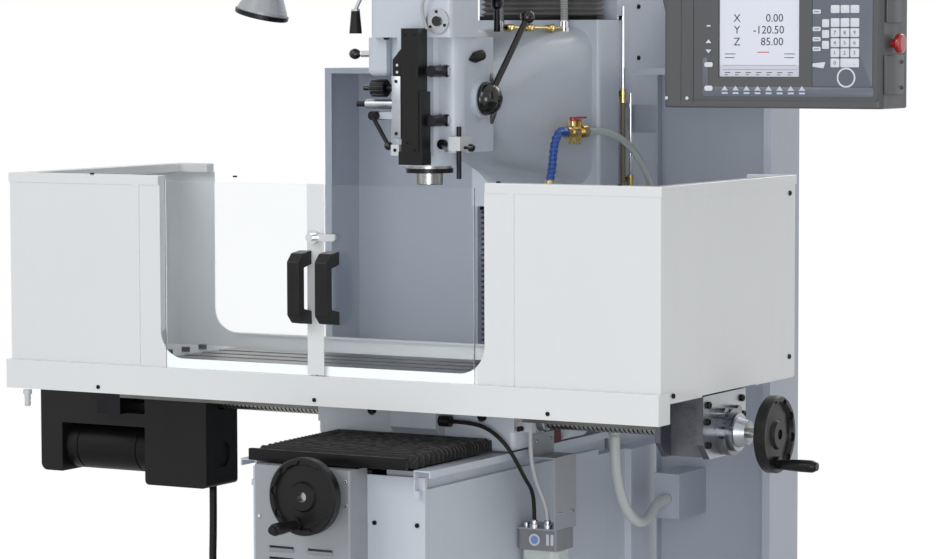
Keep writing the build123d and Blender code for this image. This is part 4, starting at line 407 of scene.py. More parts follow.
# Where a machine piece carries more than one finish: each test takes a face's centre in mm.
PART_FINISHES = {
    "table": [(TABLE_STEEL, any_face)],
    "end_brackets": [
        (HOUSING, lambda x, y, z: 641 < x < 668),
        (ALUMINIUM, lambda x, y, z: x > 637),
        (CAST_STEEL, lambda x, y, z: x > 500)],
    "oil_lines": [
        (DARK, lambda x, y, z: x < 153),
        (CHROME, lambda x, y, z: z > (1465 if y < 567 else 1280)),
        (BRASS, lambda x, y, z: z > (1435 if y < 567 else 1250)),
        (BRAID, any_face)],
    "scale_cover": [
        (PALE_GREY, lambda x, y, z: x < -9.5 and z < 1363),
        (ALUMINIUM, lambda x, y, z: x < -5.9 and z < 1499 and y < -81.5)],
    "head_casting": [
        (DARK, lambda x, y, z: (y < -40.5 and near(x, 59, 12)
                                and (near(z, 1410, 12) or near(z, 1508, 12)))),
        (DARK, lambda x, y, z: x < -127 and z < 1460),
        (ALUMINIUM, lambda x, y, z: x < -76 and z < 1455 and -42 < y < -18),
        (DARK, lambda x, y, z: x < -76 and z < 1440),
        (DARK, lambda x, y, z: (near(x, 98, 6) and near(y, -52, 6)
                                and (z < 1349.5 or z > 1378.5))),
        (PALE_GREY, lambda x, y, z: x > 79.5 and y < -12 and 1349 < z < 1379)],
    "belt_housing": [
        (GLOSS_BLACK, lambda x, y, z: y < -79.4),
        (ALUMINIUM, lambda x, y, z: y < -75.2),
        (DARK, lambda x, y, z: z > 1720.5 and math.hypot(x, y) < 47),
        (DARK, lambda x, y, z: x < -96.5)],
    "quill": [(DARK, lambda x, y, z: z < 1312.5)],
    "spindle": [(GROUND, any_face)],
    "feed_lever": [(GLOSS_BLACK, any_face)],
    "quill_lock": [
        (CHROME, lambda x, y, z: math.hypot(x - 57, z - 1362) > 13),
        (DARK, any_face)],
    "range_lever": [(BLACK, lambda x, y, z: z < 1628), (CHROME, any_face)],
    "trip_lever": [(GLOSS_BLACK, lambda x, y, z: z < 1385), (DARK, any_face)],
    "feed_knob": [(GLOSS_BLACK, lambda x, y, z: x < -100), (DARK, any_face)],
    "coolant_valve": [(BRASS, lambda x, y, z: x > 150)],
    "coolant_spout": [(BRASS, lambda x, y, z: z < SPOUT_BOTTOM + 34)],
    "oil_pump": [
        (DIAL_BLUE, lambda x, y, z: y < 13.9 and z > 555),
        (CLEAR_HOSE, lambda x, y, z: z < 549.9)],
    "saddle": [
        (ARCH_RED, lambda x, y, z: 190 < x < 227.9 and math.hypot(y - 112, z - 758) < 55),
        (BLACK, lambda x, y, z: x > 71 and y < -63.2 and z < 830),
        (CONDUIT, lambda x, y, z: x > 246.2 and y > 200),
        (GROUND, lambda x, y, z: z > 813 and -62 < y < 266)],
    "left_guard_panel": [(DARK, lambda x, y, z: floor_bolt(z, y) and -720 < x < -560)],
    "right_guard_panel": [(DARK, lambda x, y, z: floor_bolt(z, y) and 360 < x < 520)],
}


def dress_node(name, finish, tests):
    """Gives a machine piece its finish, and faces that pass a test the finish of that test."""
    mesh = nodes[name].data
    mesh.materials.clear()
    mesh.materials.append(finish)
    if not tests:
        return
    for material, _ in tests:
        mesh.materials.append(material)
    for face in mesh.polygons:
        centre = face.center / MM
        face.material_index = next((i + 1 for i, (_, test) in enumerate(tests) if test(*centre)), 0)


for part in frame["record"]["subparts"]:
    dress_node(part["node"], SLOT_FINISH[part["material_slot"]], PART_FINISHES.get(part["node"]))


# Mesh helpers.

def join_part(bm, part):
    """Adds one mesh to another and frees it."""
    mesh = bpy.data.meshes.new("part")
    part.to_mesh(mesh)
    part.free()
    bm.from_mesh(mesh)
    bpy.data.meshes.remove(mesh)


def round_edges(part, bevel):
    """Rounds all edges of a mesh by a radius in mm, which may be 0."""
    if bevel:
        bmesh.ops.bevel(part, geom=part.edges[:], offset=bevel * MM, offset_type="OFFSET",
                        segments=2, profile=0.5, affect="EDGES", material=-1)


def block(bm, x, y, z, bevel=0.0):
    """Box between two values in mm along each axis, with its edges rounded."""
    part = bmesh.new()
    bmesh.ops.create_cube(part, size=1.0)
    size = Vector((x[1] - x[0], y[1] - y[0], z[1] - z[0])) * MM
    centre = Vector((x[0] + x[1], y[0] + y[1], z[0] + z[1])) * MM / 2
    bmesh.ops.scale(part, vec=size, verts=part.verts)
    bmesh.ops.translate(part, vec=centre, verts=part.verts)
    round_edges(part, bevel)
    join_part(bm, part)


def turned(bm, profile, at, toward, steps=32):
    """Turns a profile of (radius, height) pairs in mm, from axis to axis, round a line."""
    part = bmesh.new()
    verts = [part.verts.new((radius * MM, 0, height * MM)) for radius, height in profile]
    edges = [part.edges.new(pair) for pair in zip(verts, verts[1:])]
    bmesh.ops.spin(part, geom=verts + edges, cent=(0, 0, 0), axis=UP, dvec=(0, 0, 0),
                   angle=2 * math.pi, steps=steps, use_merge=True, use_duplicate=False)
    bmesh.ops.remove_doubles(part, verts=part.verts, dist=1e-7)
    bmesh.ops.recalc_face_normals(part, faces=part.faces)
    turn = UP.rotation_difference(Vector(toward).normalized()).to_matrix().to_4x4()
    bmesh.ops.transform(part, matrix=Matrix.Translation(mm(*at)) @ turn, verts=part.verts)
    join_part(bm, part)


def cap_screw(bm, at, toward, radius, height):
    """Head of a socket screw: a rim with a chamfer, and a recess in its top."""
    turned(bm, [(0, height * 0.45), (radius * 0.5, height * 0.45), (radius * 0.55, height),
                (radius * 0.86, height), (radius, height * 0.8), (radius, -0.3), (0, -0.3)],
           at, toward, 16)


def plate(bm, outline, depth, bevel=0.0):
    """Flat piece in the XZ plane: an outline of (x, z) pairs in mm, from one Y to another."""
    part = bmesh.new()
    face = part.faces.new([part.verts.new(mm(x, depth[0], z)) for x, z in outline])
    grown = bmesh.ops.extrude_face_region(part, geom=[face])
    moved = [v for v in grown["geom"] if isinstance(v, bmesh.types.BMVert)]
    bmesh.ops.translate(part, vec=(0, (depth[1] - depth[0]) * MM, 0), verts=moved)
    bmesh.ops.recalc_face_normals(part, faces=part.faces)
    round_edges(part, bevel)
    join_part(bm, part)


def rounded(x, z, radius):
    """Outline of a rectangle with round corners, as (x, z) pairs in mm."""
    steps = 4
    outline = []
    for corner, (cx, cz) in enumerate(((x[1], z[1]), (x[0], z[1]), (x[0], z[0]), (x[1], z[0]))):
        inside_x = cx - radius if cx == x[1] else cx + radius
        inside_z = cz - radius if cz == z[1] else cz + radius
        for step in range(steps + 1):
            angle = (corner + step / steps) * math.pi / 2
            outline.append((inside_x + radius * math.cos(angle),
                            inside_z + radius * math.sin(angle)))
    return outline


def words(bm, text, size, at):
    """Plain figures facing the front, centred on a point in mm."""
    data = bpy.data.curves.new("figures", "FONT")
    data.body, data.size, data.extrude = text, size * MM, 0.15 * MM
    data.align_x, data.align_y, data.resolution_u = "CENTER", "CENTER", 3
    holder = bpy.data.objects.new("figures", data)
    mesh = bpy.data.meshes.new_from_object(holder)
    part = bmesh.new()
    part.from_mesh(mesh)
    stand = Matrix.Rotation(math.pi / 2, 4, "X")
    bmesh.ops.transform(part, matrix=Matrix.Translation(mm(*at)) @ stand, verts=part.verts)
    join_part(bm, part)
    bpy.data.objects.remove(holder)
    bpy.data.meshes.remove(mesh)
    bpy.data.curves.remove(data)


def show(made):
    """Links an object to the scene."""
    bpy.context.scene.collection.objects.link(made)
    return made


def finish_piece(name, bm, material, angle=32):
    """Makes the object: smooth faces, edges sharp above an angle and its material."""
    for face in bm.faces:
        face.smooth = True
    for edge in bm.edges:
        if len(edge.link_faces) == 2 and edge.calc_face_angle(0) > math.radians(angle):
            edge.smooth = False
    mesh = bpy.data.meshes.new(name)
    bm.to_mesh(mesh)
    bm.free()
    mesh.materials.append(material)
    made = show(bpy.data.objects.new(name, mesh))
    return made


def piece(name, bm, material, body, angle=32):
    """Finished piece that rides on one body."""
    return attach(finish_piece(name, bm, material, angle), body)


# Camera, from the photograph's vanishing lines and the table's usual size; angles in degrees.

FOCAL_PIXELS = 3352.0345
IMAGE_WIDTH = 939
CAMERA_PLACE = (3.3842207, -5.8497597, 1.5751713)
CAMERA_TURN, CAMERA_PITCH = 29.370, 4.1346
CAMERA_ROLL_RADIANS = -0.00225165
SENSOR = 36.0
camera_data = bpy.data.cameras.new("photo_camera")
camera_data.sensor_width = SENSOR
camera_data.sensor_fit = "HORIZONTAL"
camera_data.lens = SENSOR * FOCAL_PIXELS / IMAGE_WIDTH
camera = show(bpy.data.objects.new("photo_camera", camera_data))
camera.matrix_world = (Matrix.Translation(CAMERA_PLACE)
                       @ Matrix.Rotation(math.radians(CAMERA_TURN), 4, "Z")
                       @ Matrix.Rotation(math.radians(90 - CAMERA_PITCH), 4, "X")
                       @ Matrix.Rotation(CAMERA_ROLL_RADIANS, 4, "Z"))
bpy.context.scene.camera = camera


# Cords and hoses: the same points as the CAD routes, in mm.

X_MOTOR_CABLE = (
    (-556, 40, 628), (-556, 40, 540), (-562, 44, 450), (-556, 50, 362), (-514, 60, 288),
    (-442, 72, 262), (-376, 86, 304), (-356, 98, 384), (-362, 108, 470), (-356, 118, 556),
    (-362, 125, 636), (-350, 130, 711), (-323, 132, 757), (-277, 132, 784), (-228, 132, 784))
SADDLE_CABLE = (
    (95, -83, 812), (140, -83, 812), (182, -82, 802), (216, -78, 774), (234, -64, 738),
    (238, -38, 702), (237, -4, 674), (231, 16, 638), (231, 16, 595))
OIL_CONDUIT = (
    (238, -14, 792), (238, -14, 757), (240, -10, 722), (244, 0, 688), (252, 14, 656),
    (258, 22, 626), (258, 22, 595))
DRAIN_HOSE = (
    (300, 235, 765), (300, 235, 706), (305, 244, 648), (311, 272, 598), (315, 320, 570),
    (311, 376, 576), (300, 430, 602), (300, 480, 602))
COOLANT_HOSE = (
    (165, 361, 1379), (165, 420, 1379), (170, 478, 1372), (178, 534, 1350), (184, 584, 1312),
    (188, 624, 1262), (190, 652, 1204), (192, 672, 1146), (194, 684, 1088), (195, 688, 1030),
    (196, 686, 971), (197, 710, 929), (198, 752, 905), (198, 800, 905))


def hose_line(name, points, radius):
    """Curve of one open spline with the route's points as its control points."""
    data = bpy.data.curves.new(name, "CURVE")
    data.dimensions = "3D"
    data.resolution_u = 10
    spline = data.splines.new("NURBS")
    spline.points.add(len(points) - 1)
    for control, at in zip(spline.points, points):
        control.co = (*mm(*at), 1.0)
    spline.order_u = 3
    spline.use_endpoint_u = True
    data.bevel_depth = radius * MM
    data.bevel_resolution = 5
    data.use_fill_caps = True
    return bpy.data.objects.new(name, data)


def tube_from(line, name, radius):
    """Turns a curve into a closed smooth tube; returns it with its centre line's points."""
    line.data.bevel_depth = 0.0
    centre = bpy.data.meshes.new_from_object(line)
    path = [tuple(v.co) for v in centre.vertices]
    bpy.data.meshes.remove(centre)
    line.data.bevel_depth = radius * MM
    tube = bpy.data.meshes.new_from_object(line)
    bpy.data.objects.remove(line)
    tube.name = name
    part = bmesh.new()
    part.from_mesh(tube)
    bmesh.ops.remove_doubles(part, verts=part.verts, dist=1e-6)
    bmesh.ops.recalc_face_normals(part, faces=part.faces)
    for face in part.faces:
        face.smooth = True
    part.to_mesh(tube)
    part.free()
    return bpy.data.objects.new(name, tube), path


def hose(name, points, radius, slot, body=None, between=None):
    """Cord or hose that replaces its CAD node, in mm but for its length in metres.

    One that crosses a joint is a closed smooth tube that stays where it is made."""
    made, path = hose_line(name, points, radius), None
    if between:
        made, path = tube_from(made, name, radius)
    show(made)
    made.data.materials.clear()
    made.data.materials.append(SLOT_FINISH[slot])
    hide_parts(name)
    if between:
        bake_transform(made)
    else:
        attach(made, body)


hose("x_motor_cable", X_MOTOR_CABLE, 8.0, "cable_black",
     between=("table_body", "saddle_body"))
hose("saddle_cable", SADDLE_CABLE, 4.0, "cable_black", body="saddle_body")
hose("oil_conduit", OIL_CONDUIT, 4.5, "conduit_grey", body="saddle_body")
hose("drain_hose", DRAIN_HOSE, 11.0, "hose_grey", between=("saddle_body", "base"))
hose("coolant_hose", COOLANT_HOSE, 7.5, "hose_clear", between=("ram_body", "base"))


# Bellows over the slideways: pleated sleeves, fixed where they are made.

CLOTH_THICKNESS = 1.2


def bellows(name, section, start, end, axis, count, depth, node, cloth, reach=0.0,
            spread=1.0):
    """Pleated cover: a cross-section in mm that is drawn along an axis from start to end.

    Every second line is drawn in by a side and a crown depth. A spread below 1 sets the pleats
    wider apart near the start. Reach sets two end points that are not used.
    wider apart near the start. Reach takes the blend past both ends."""
    bm = bmesh.new()
    across = [i for i in range(3) if i != axis]
    verts = []
    for point in section:
        at = Vector((0, 0, 0))
        at[across[0]], at[across[1]], at[axis] = point[0] * MM, point[1] * MM, start * MM
        verts.append(bm.verts.new(at))
    last = [bm.edges.new(pair) for pair in zip(verts, verts[1:])]
    lines = [(start + (end - start) * (index / (2 * count)) ** spread) * MM
             for index in range(2 * count + 1)]
    base = section[0][1] * MM
    side_depth, crown_depth = (value * MM for value in depth)
    if section[2][1] < section[0][1]:
        crown_depth = -crown_depth
    for index, line in enumerate(lines[1:]):
        grown = bmesh.ops.extrude_edge_only(bm, edges=last)["geom"]
        last = [g for g in grown if isinstance(g, bmesh.types.BMEdge)]
        moved = [g for g in grown if isinstance(g, bmesh.types.BMVert)]
        drawn = -1 if index % 2 == 0 else 1
        for vert in moved:
            vert.co[axis] = line
            vert.co[across[0]] += math.copysign(side_depth, drawn * vert.co[across[0]])
            if abs(vert.co[across[1]] - base) > 0.5 * MM:
                vert.co[across[1]] += drawn * crown_depth
    bmesh.ops.solidify(bm, geom=bm.faces[:], thickness=CLOTH_THICKNESS * MM)
    bmesh.ops.recalc_face_normals(bm, faces=bm.faces)
    made = finish_piece(name, bm, cloth, angle=20)
    anchor, tip = Vector((0, 0, 0)), Vector((0, 0, 0))
    side = 1 if end > start else -1
    anchor[axis], tip[axis] = (start - side * reach) * MM, (end + side * reach) * MM
    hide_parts(node)
    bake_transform(made)


Y_SECTION = [(-178, 755), (-178, 771), (-172, 777), (172, 777), (178, 771), (178, 755)]
Z_SECTION = [(-142, 497), (-142, 468), (-136, 462), (136, 462), (142, 468), (142, 497)]
bellows("y_bellows_front", Y_SECTION, -398, -66, 1, 21, (13.0, 17.0), "y_bellows", CLOTH,
        reach=42, spread=0.7)
bellows("y_bellows_rear", Y_SECTION, 456, 270, 1, 13, (9.0, 14.0), "y_bellows", CLOTH)
bellows("z_bellows_low", Z_SECTION, 702, 1209, 2, 44, (8.0, 9.0), "z_bellows", CLOTH)
bellows("z_bellows_high", Z_SECTION, 2128, 1613, 2, 48, (8.0, 9.0), "z_bellows",
        FADED_CLOTH)


# Ball screw thread along the table's screw.

SCREW_Y, SCREW_Z = 40, 810


def thread(name, start, end, radius, pitch, body):
    """Raised thread turned round the screw by a spin that also moves along it."""
    bm = bmesh.new()
    steps_per_turn = 14
    turns = int((end - start) / pitch)
    ridge = [(start, radius - 0.4), (start + pitch * 0.18, radius + 0.7),
             (start + pitch * 0.42, radius + 0.7), (start + pitch * 0.6, radius - 0.4)]
    verts = [bm.verts.new(mm(x, SCREW_Y, SCREW_Z + r)) for x, r in ridge]
    edges = [bm.edges.new(pair) for pair in zip(verts, verts[1:])]
    bmesh.ops.spin(bm, geom=verts + edges, cent=mm(0, SCREW_Y, SCREW_Z), axis=(1, 0, 0),
                   dvec=(pitch * MM / steps_per_turn, 0, 0), angle=2 * math.pi * turns,
                   steps=steps_per_turn * turns, use_merge=False, use_duplicate=False)
    bmesh.ops.recalc_face_normals(bm, faces=bm.faces)
    piece(name, bm, SHADED_SCREW_STEEL, body, angle=60)


thread("x_screw_thread", -640, 515, 16.0, 10.0, "x_screw_body")


# Control pendant: screen, keys and screws on its front. Depths are pairs of Y values in mm.

FACE = -100.0
SCREEN_PRINT = (-97.5, -97.1)
FRAME_BACK, PANEL_BACK, KEY_BACK = -99.7, -99.8, -98.3
KEY_PITCH_X, KEY_PITCH_Z, KEY_GAP = 19.6, 18.6, 2.2
FIRST_KEY_X, FIRST_KEY_Z = 917.5, 1518


def on_pendant(name, bm, material):
    """Finished piece on the pendant."""
    piece(name, bm, material, "pendant_body")


bm = bmesh.new()
for row, (letter, figure, x) in enumerate((("X", "0.00", 802), ("Y", "-120.50", 790),
                                           ("Z", "85.00", 797))):
    z = 1609 - row * 22
    words(bm, letter, 21, (725, -97.4, z))
    words(bm, figure, 21, (x, -97.4, z))
for z in (1521, 1513):
    block(bm, (695, 847), SCREEN_PRINT, (z, z + 0.5))
for index in range(7):
    x = 697 + index * 21.5
    block(bm, (x + 3, x + 14), SCREEN_PRINT, (1507, 1508.4))
    block(bm, (x + 3, x + 10), SCREEN_PRINT, (1503, 1504.2))
for x in (700, 822):
    block(bm, (x, x + 22), SCREEN_PRINT, (1542, 1543.4))
    block(bm, (x, x + 20), SCREEN_PRINT, (1535, 1536.4))
on_pendant("screen_figures", bm, INK)

bm = bmesh.new()
plate(bm, rounded((655, 666), (1481.4, 1536), 4), (-100.9, PANEL_BACK), bevel=0.3)
plate(bm, rounded((655, 1003), (1463, 1481), 5), (-100.9, PANEL_BACK), bevel=0.3)
plate(bm, rounded((880, 1000), (1482, 1769), 3), (-99.9, -98.4), bevel=0.3)
on_pendant("key_panel", bm, PANEL_GREY)

# Thin raised line round the front, and two upright lines at its left side.
bm = bmesh.new()
RIM_LEFT, RIM_RIGHT, RIM_BOTTOM, RIM_TOP, RIM_WIDTH = 634, 1012, 1456, 1790, 2.0
for z in ((RIM_BOTTOM, RIM_BOTTOM + RIM_WIDTH), (RIM_TOP - RIM_WIDTH, RIM_TOP)):
    block(bm, (RIM_LEFT, RIM_RIGHT), (-101.4, FRAME_BACK), z, bevel=0.3)
for x in ((RIM_LEFT, RIM_LEFT + RIM_WIDTH), (RIM_RIGHT - RIM_WIDTH, RIM_RIGHT)):
    block(bm, x, (-101.4, FRAME_BACK), (RIM_BOTTOM, RIM_TOP), bevel=0.3)
for x in (636, 610):
    block(bm, (x - 1.2, x), (-101.2, FRAME_BACK), (1452, 1790), bevel=0.3)
on_pendant("pendant_rim", bm, PENDANT)

bm = bmesh.new()
for index in range(8):
    x = 702 + index * 22.6
    plate(bm, [(x - 7, 1474), (x + 7, 1474), (x, 1483)], (-102.6, PANEL_BACK), bevel=0.5)
    block(bm, (x - 6, x + 6), (-102.2, PANEL_BACK), (1467.5, 1471), bevel=0.4)
on_pendant("soft_keys", bm, KEY_BLUE)
bm = bmesh.new()
block(bm, (664, 672), (-102.0, PANEL_BACK), (1594, 1597), bevel=0.4)
plate(bm, [(662, 1563), (674, 1563), (668, 1570)], (-102.4, PANEL_BACK), bevel=0.4)
plate(bm, [(662, 1551), (674, 1551), (668, 1544)], (-102.4, PANEL_BACK), bevel=0.4)
plate(bm, rounded((660, 677), (1518, 1527), 3), (-103.0, PANEL_BACK), bevel=0.5)
plate(bm, rounded((660, 677), (1473, 1483), 4), (-103.0, PANEL_BACK), bevel=0.5)
for z in (1617, 1585, 1566, 1548):
    plate(bm, rounded((881, 897), (z, z + 8), 2), (-101.6, KEY_BACK), bevel=0.4)
for z in (1592, 1572, 1552):
    plate(bm, rounded((900, 914), (z, z + 15), 2), (-102.0, KEY_BACK), bevel=0.5)
plate(bm, [(881, 1519), (903, 1516), (907, 1528), (881, 1525)], (-101.6, KEY_BACK), bevel=0.5)
on_pendant("function_keys", bm, KEY_WHITE)

bm = bmesh.new()
for row in range(5):
    for column in range(3):
        if row == 0 and column == 2:
            continue
        low_x = FIRST_KEY_X + column * KEY_PITCH_X
        low_z = FIRST_KEY_Z + row * KEY_PITCH_Z
        wide = 2 if row == 0 and column == 1 else 1
        outline = rounded((low_x, low_x + wide * KEY_PITCH_X - KEY_GAP),
                          (low_z, low_z + KEY_PITCH_Z - KEY_GAP), 2)
        plate(bm, outline, (-102.4, KEY_BACK), bevel=0.6)
for column in range(3):
    low_x = FIRST_KEY_X + column * KEY_PITCH_X
    outline = rounded((low_x, low_x + KEY_PITCH_X - KEY_GAP), (1618, 1633), 2)
    plate(bm, outline, (-102.4, KEY_BACK), bevel=0.6)
on_pendant("number_keys", bm, KEY_WHITE)
bm = bmesh.new()
for row, figures in enumerate(("0 .", "123", "456", "789")):
    for column, figure in enumerate(figures):
        if figure != " ":
            at = (926 + column * KEY_PITCH_X, -102.45, 1526 + row * KEY_PITCH_Z)
            words(bm, figure, 10, at)
for z in (1551.5, 1569.5, 1588.5, 1620.5):
    block(bm, (884, 894), (-102.0, -101.5), (z, z + 1.2))
on_pendant("key_figures", bm, INK)
bm = bmesh.new()
for x, z in ((580, 1459), (623, 1459), (580, 1784), (623, 1784)):
    cap_screw(bm, (x, FACE, z), FRONT, 3.6, 2.4)
on_pendant("pendant_screws", bm, CHROME)
bm = bmesh.new()
block(bm, (1019, 1026), (-92, -8), (1468, 1540), bevel=2.0)
block(bm, (1019, 1024), (-85, -15), (1600, 1700), bevel=2.0)
for z in (1480, 1528):
    cap_screw(bm, (1026, -20, z), RIGHT, 3.5, 2.4)
on_pendant("pendant_ports", bm, PENDANT)


# Screws and small fittings.

def on_circle(radius, angles):
    """Pairs of offsets in mm at angles in degrees."""
    return [(radius * math.cos(math.radians(a)), radius * math.sin(math.radians(a)))
            for a in angles]


# Screw heads by set: the way they face, radius, height, slot, body and places in mm.
for name, toward, radius, height, slot, body, places in (
    ("base_screws", FRONT, 4.5, 3.4, "dark_steel", "base",
     [(-181, -358, 645), (178, -358, 644), (83, -358, 643), (-181, -358, 420), (178, -358, 420)]),
    ("drive_box_screws", FRONT, 3.6, 2.6, "bright_steel", "base",
     [(-138, -424, 650), (17, -424, 724), (58, -424, 728), (59, -424, 682), (17, -424, 676),
      (-138, -424, 330), (58, -424, 330)]),
    ("apron_screws", FRONT, 4.2, 2.8, "dark_steel", "table_body",
     [(-100, -282, 864), (-620, -282, 864), (420, -282, 864)]),
    ("guard_side_screws", RIGHT, 5.0, 3.4, "dark_steel", "table_body",
     [(650, 318, 1262), (650, 318, 933), (653, -221, 904)]),
    ("guard_left_screws", LEFT, 5.0, 3.4, "dark_steel", "table_body",
     [(-850, 318, 1262), (-850, 318, 933), (-853, -221, 904)]),
    ("saddle_front_screws", FRONT, 8.0, 5.0, "dark_steel", "saddle_body",
     [(-100, -63, 823), (155, -63, 823)]),
    ("saddle_side_screws", RIGHT, 5.0, 5.0, "dark_steel", "saddle_body",
     [(228, -48, 800), (228, -36, 800), (228, 36, 797), (228, 170, 790), (228, 215, 790)]),
    ("bracket_screws", RIGHT, 4.0, 3.0, "bright_steel", "saddle_body",
     [(231, 24, 768), (231, 86, 768), (281, 30, 625), (281, 80, 625)]),
    ("bearing_bracket_screws", RIGHT, 7.0, 6.0, "dark_steel", "table_body",
     [(638, -36, 868), (638, 116, 868), (638, -36, 790), (638, 116, 790), (638, -40, 836),
      (638, 122, 836)]),
    ("column_screws", RIGHT, 5.0, 4.0, "dark_steel", "base",
     [(150, 640, 1730), (150, 640, 1640), (150, 640, 1530), (150, 700, 1400)]),
    ("cover_cap_screws", TOP, 4.5, 3.0, "dark_steel", "table_body",
     [(-640, -268, 1298), (-300, -256, 1298), (300, -256, 1298), (560, -256, 1298)]),
    ("scale_cover_screws", FRONT, 2.8, 1.6, "dark_steel", "head_body",
     [(13, -111, 1366), (30, -111, 1352), (30, -111, 1580), (8, -111, 1580)]),
    ("scale_bar_screws", FRONT, 3.4, 1.6, "dark_steel", "head_body",
     [(-16, -104, 1488), (-16, -104, 1384), (-19, -104, 1351)]),
    ("scale_ear_screws", FRONT, 3.0, 1.6, "bright_steel", "head_body",
     [(-13, -104, 1520), (-13, -104, 1506)]),
    ("disc_screws", FRONT, 3.2, 1.6, "dark_steel", "head_body",
     [(64 + x, -79, 1607 + z) for x, z in on_circle(19, (95, 215, 335))]),
    ("hub_screws", RIGHT, 3.0, 1.2, "dark_steel", "head_body",
     [(104, 45 + y, 1452 + z) for y, z in on_circle(26, (150, 210, 330))]),
):
    bm = bmesh.new()
    for at in places:
        cap_screw(bm, at, toward, radius, height)
    piece(name, bm, SLOT_FINISH[slot], body)

bm = bmesh.new()
plate(bm, [(1, 1559), (-24, 1531), (-24, 1498.5), (1, 1498.5)], (-104, -80), bevel=0.8)
piece("scale_ear", bm, BLACK, "head_body")

# Oil pump: bezel of its dial, and its pipe fittings.
PUMP_DIAL = (234, 11, 572)
bm = bmesh.new()
turned(bm, [(0, 1), (8.5, 1), (8.5, 1.6), (12.2, 1.6), (12.2, -1), (0, -1)], PUMP_DIAL, FRONT, 28)
for x in (262, 272):
    block(bm, (x - 3, x + 3), (12.6, 14.2), (562, 584), bevel=0.4)
piece("pump_bezel", bm, PALE_GREY, "saddle_body")
bm = bmesh.new()
for x, y in ((231, 16), (258, 22)):
    turned(bm, [(0, 17), (5.2, 17), (6.4, 15), (6.4, 9), (9, 8), (9, 0), (0, 0)], (x, y, 595),
           TOP, 12)
turned(bm, [(0, 10), (7, 10), (8.5, 8), (8.5, 0), (0, 0)], (206, 30, 595), TOP, 12)
piece("pump_fittings", bm, CHROME, "saddle_body")

# Round wiper of the table screw and its block, on the saddle's right side.
bm = bmesh.new()
turned(bm, [(0, 22), (20, 22), (22, 20), (22, 4), (25, 3), (25, 0), (0, 0)],
       (228, SCREW_Y, SCREW_Z), RIGHT, 24)
block(bm, (228, 246), (28, 58), (826, 846), bevel=2.0)
piece("screw_wiper", bm, ALUMINIUM, "saddle_body")


# Head: oil fittings and the bent conduit.
bm = bmesh.new()
turned(bm, [(0, 14), (6, 14), (7.5, 12), (7.5, 4), (5, 3), (5, 0), (0, 0)], (60, 20, 1575),
       (0.3, -0.2, 1), 16)
turned(bm, [(0, 9), (5, 9), (5, 0), (0, 0)], (-60, -62, 1575), FRONT, 12)
piece("oil_fittings", bm, DARK, "head_body")


def bent_pipe(points, radius):
    """New mesh of a pipe along a smooth line through points in mm."""
    bm = bmesh.new()
    line = hose_line("pipe_line", points, radius)
    mesh = bpy.data.meshes.new_from_object(line)
    bm.from_mesh(mesh)
    bpy.data.objects.remove(line)
    bpy.data.meshes.remove(mesh)
    return bm


bm = bent_pipe(((41, -79, 1592), (36, -84, 1610), (34, -90, 1640), (50, -92, 1668),
                (66, -90, 1692), (80, -84, 1712)), 3.2)
turned(bm, [(0, 10), (5.5, 10), (5.5, 0), (0, 0)], (80, -84, 1709), TOP, 14)
block(bm, (76, 90), (-86, -75), (1700, 1712), bevel=1.5)
piece("head_conduit", bm, CONDUIT, "head_body")

# Ram: unions of the oil pipe, and the coiled sleeve over the top with its nuts.
bm = bmesh.new()
for y in (150, 236, 330):
    turned(bm, [(0, 26), (7, 26), (8, 24), (8, 14), (6, 13), (6, 4), (7.5, 3), (7.5, 0), (0, 0)],
           (94, y, 1594), BACK, 12)
piece("ram_unions", bm, BRASS, "ram_body")
bm = bent_pipe(((94, 405, 1602), (94, 405, 1720), (84, 405, 1800), (17, 405, 1836),
                (-50, 405, 1800), (-60, 405, 1720), (-60, 405, 1602)), 8.0)
piece("coiled_sleeve", bm, COIL, "ram_body", angle=60)
bm = bmesh.new()
for x in (94, -60):
    turned(bm, [(0, 26), (8.5, 26), (10, 24), (10, 12), (12, 11), (12, 0), (0, 0)],
           (x, 405, 1584), TOP, 12)
piece("sleeve_nuts", bm, CHROME, "ram_body")

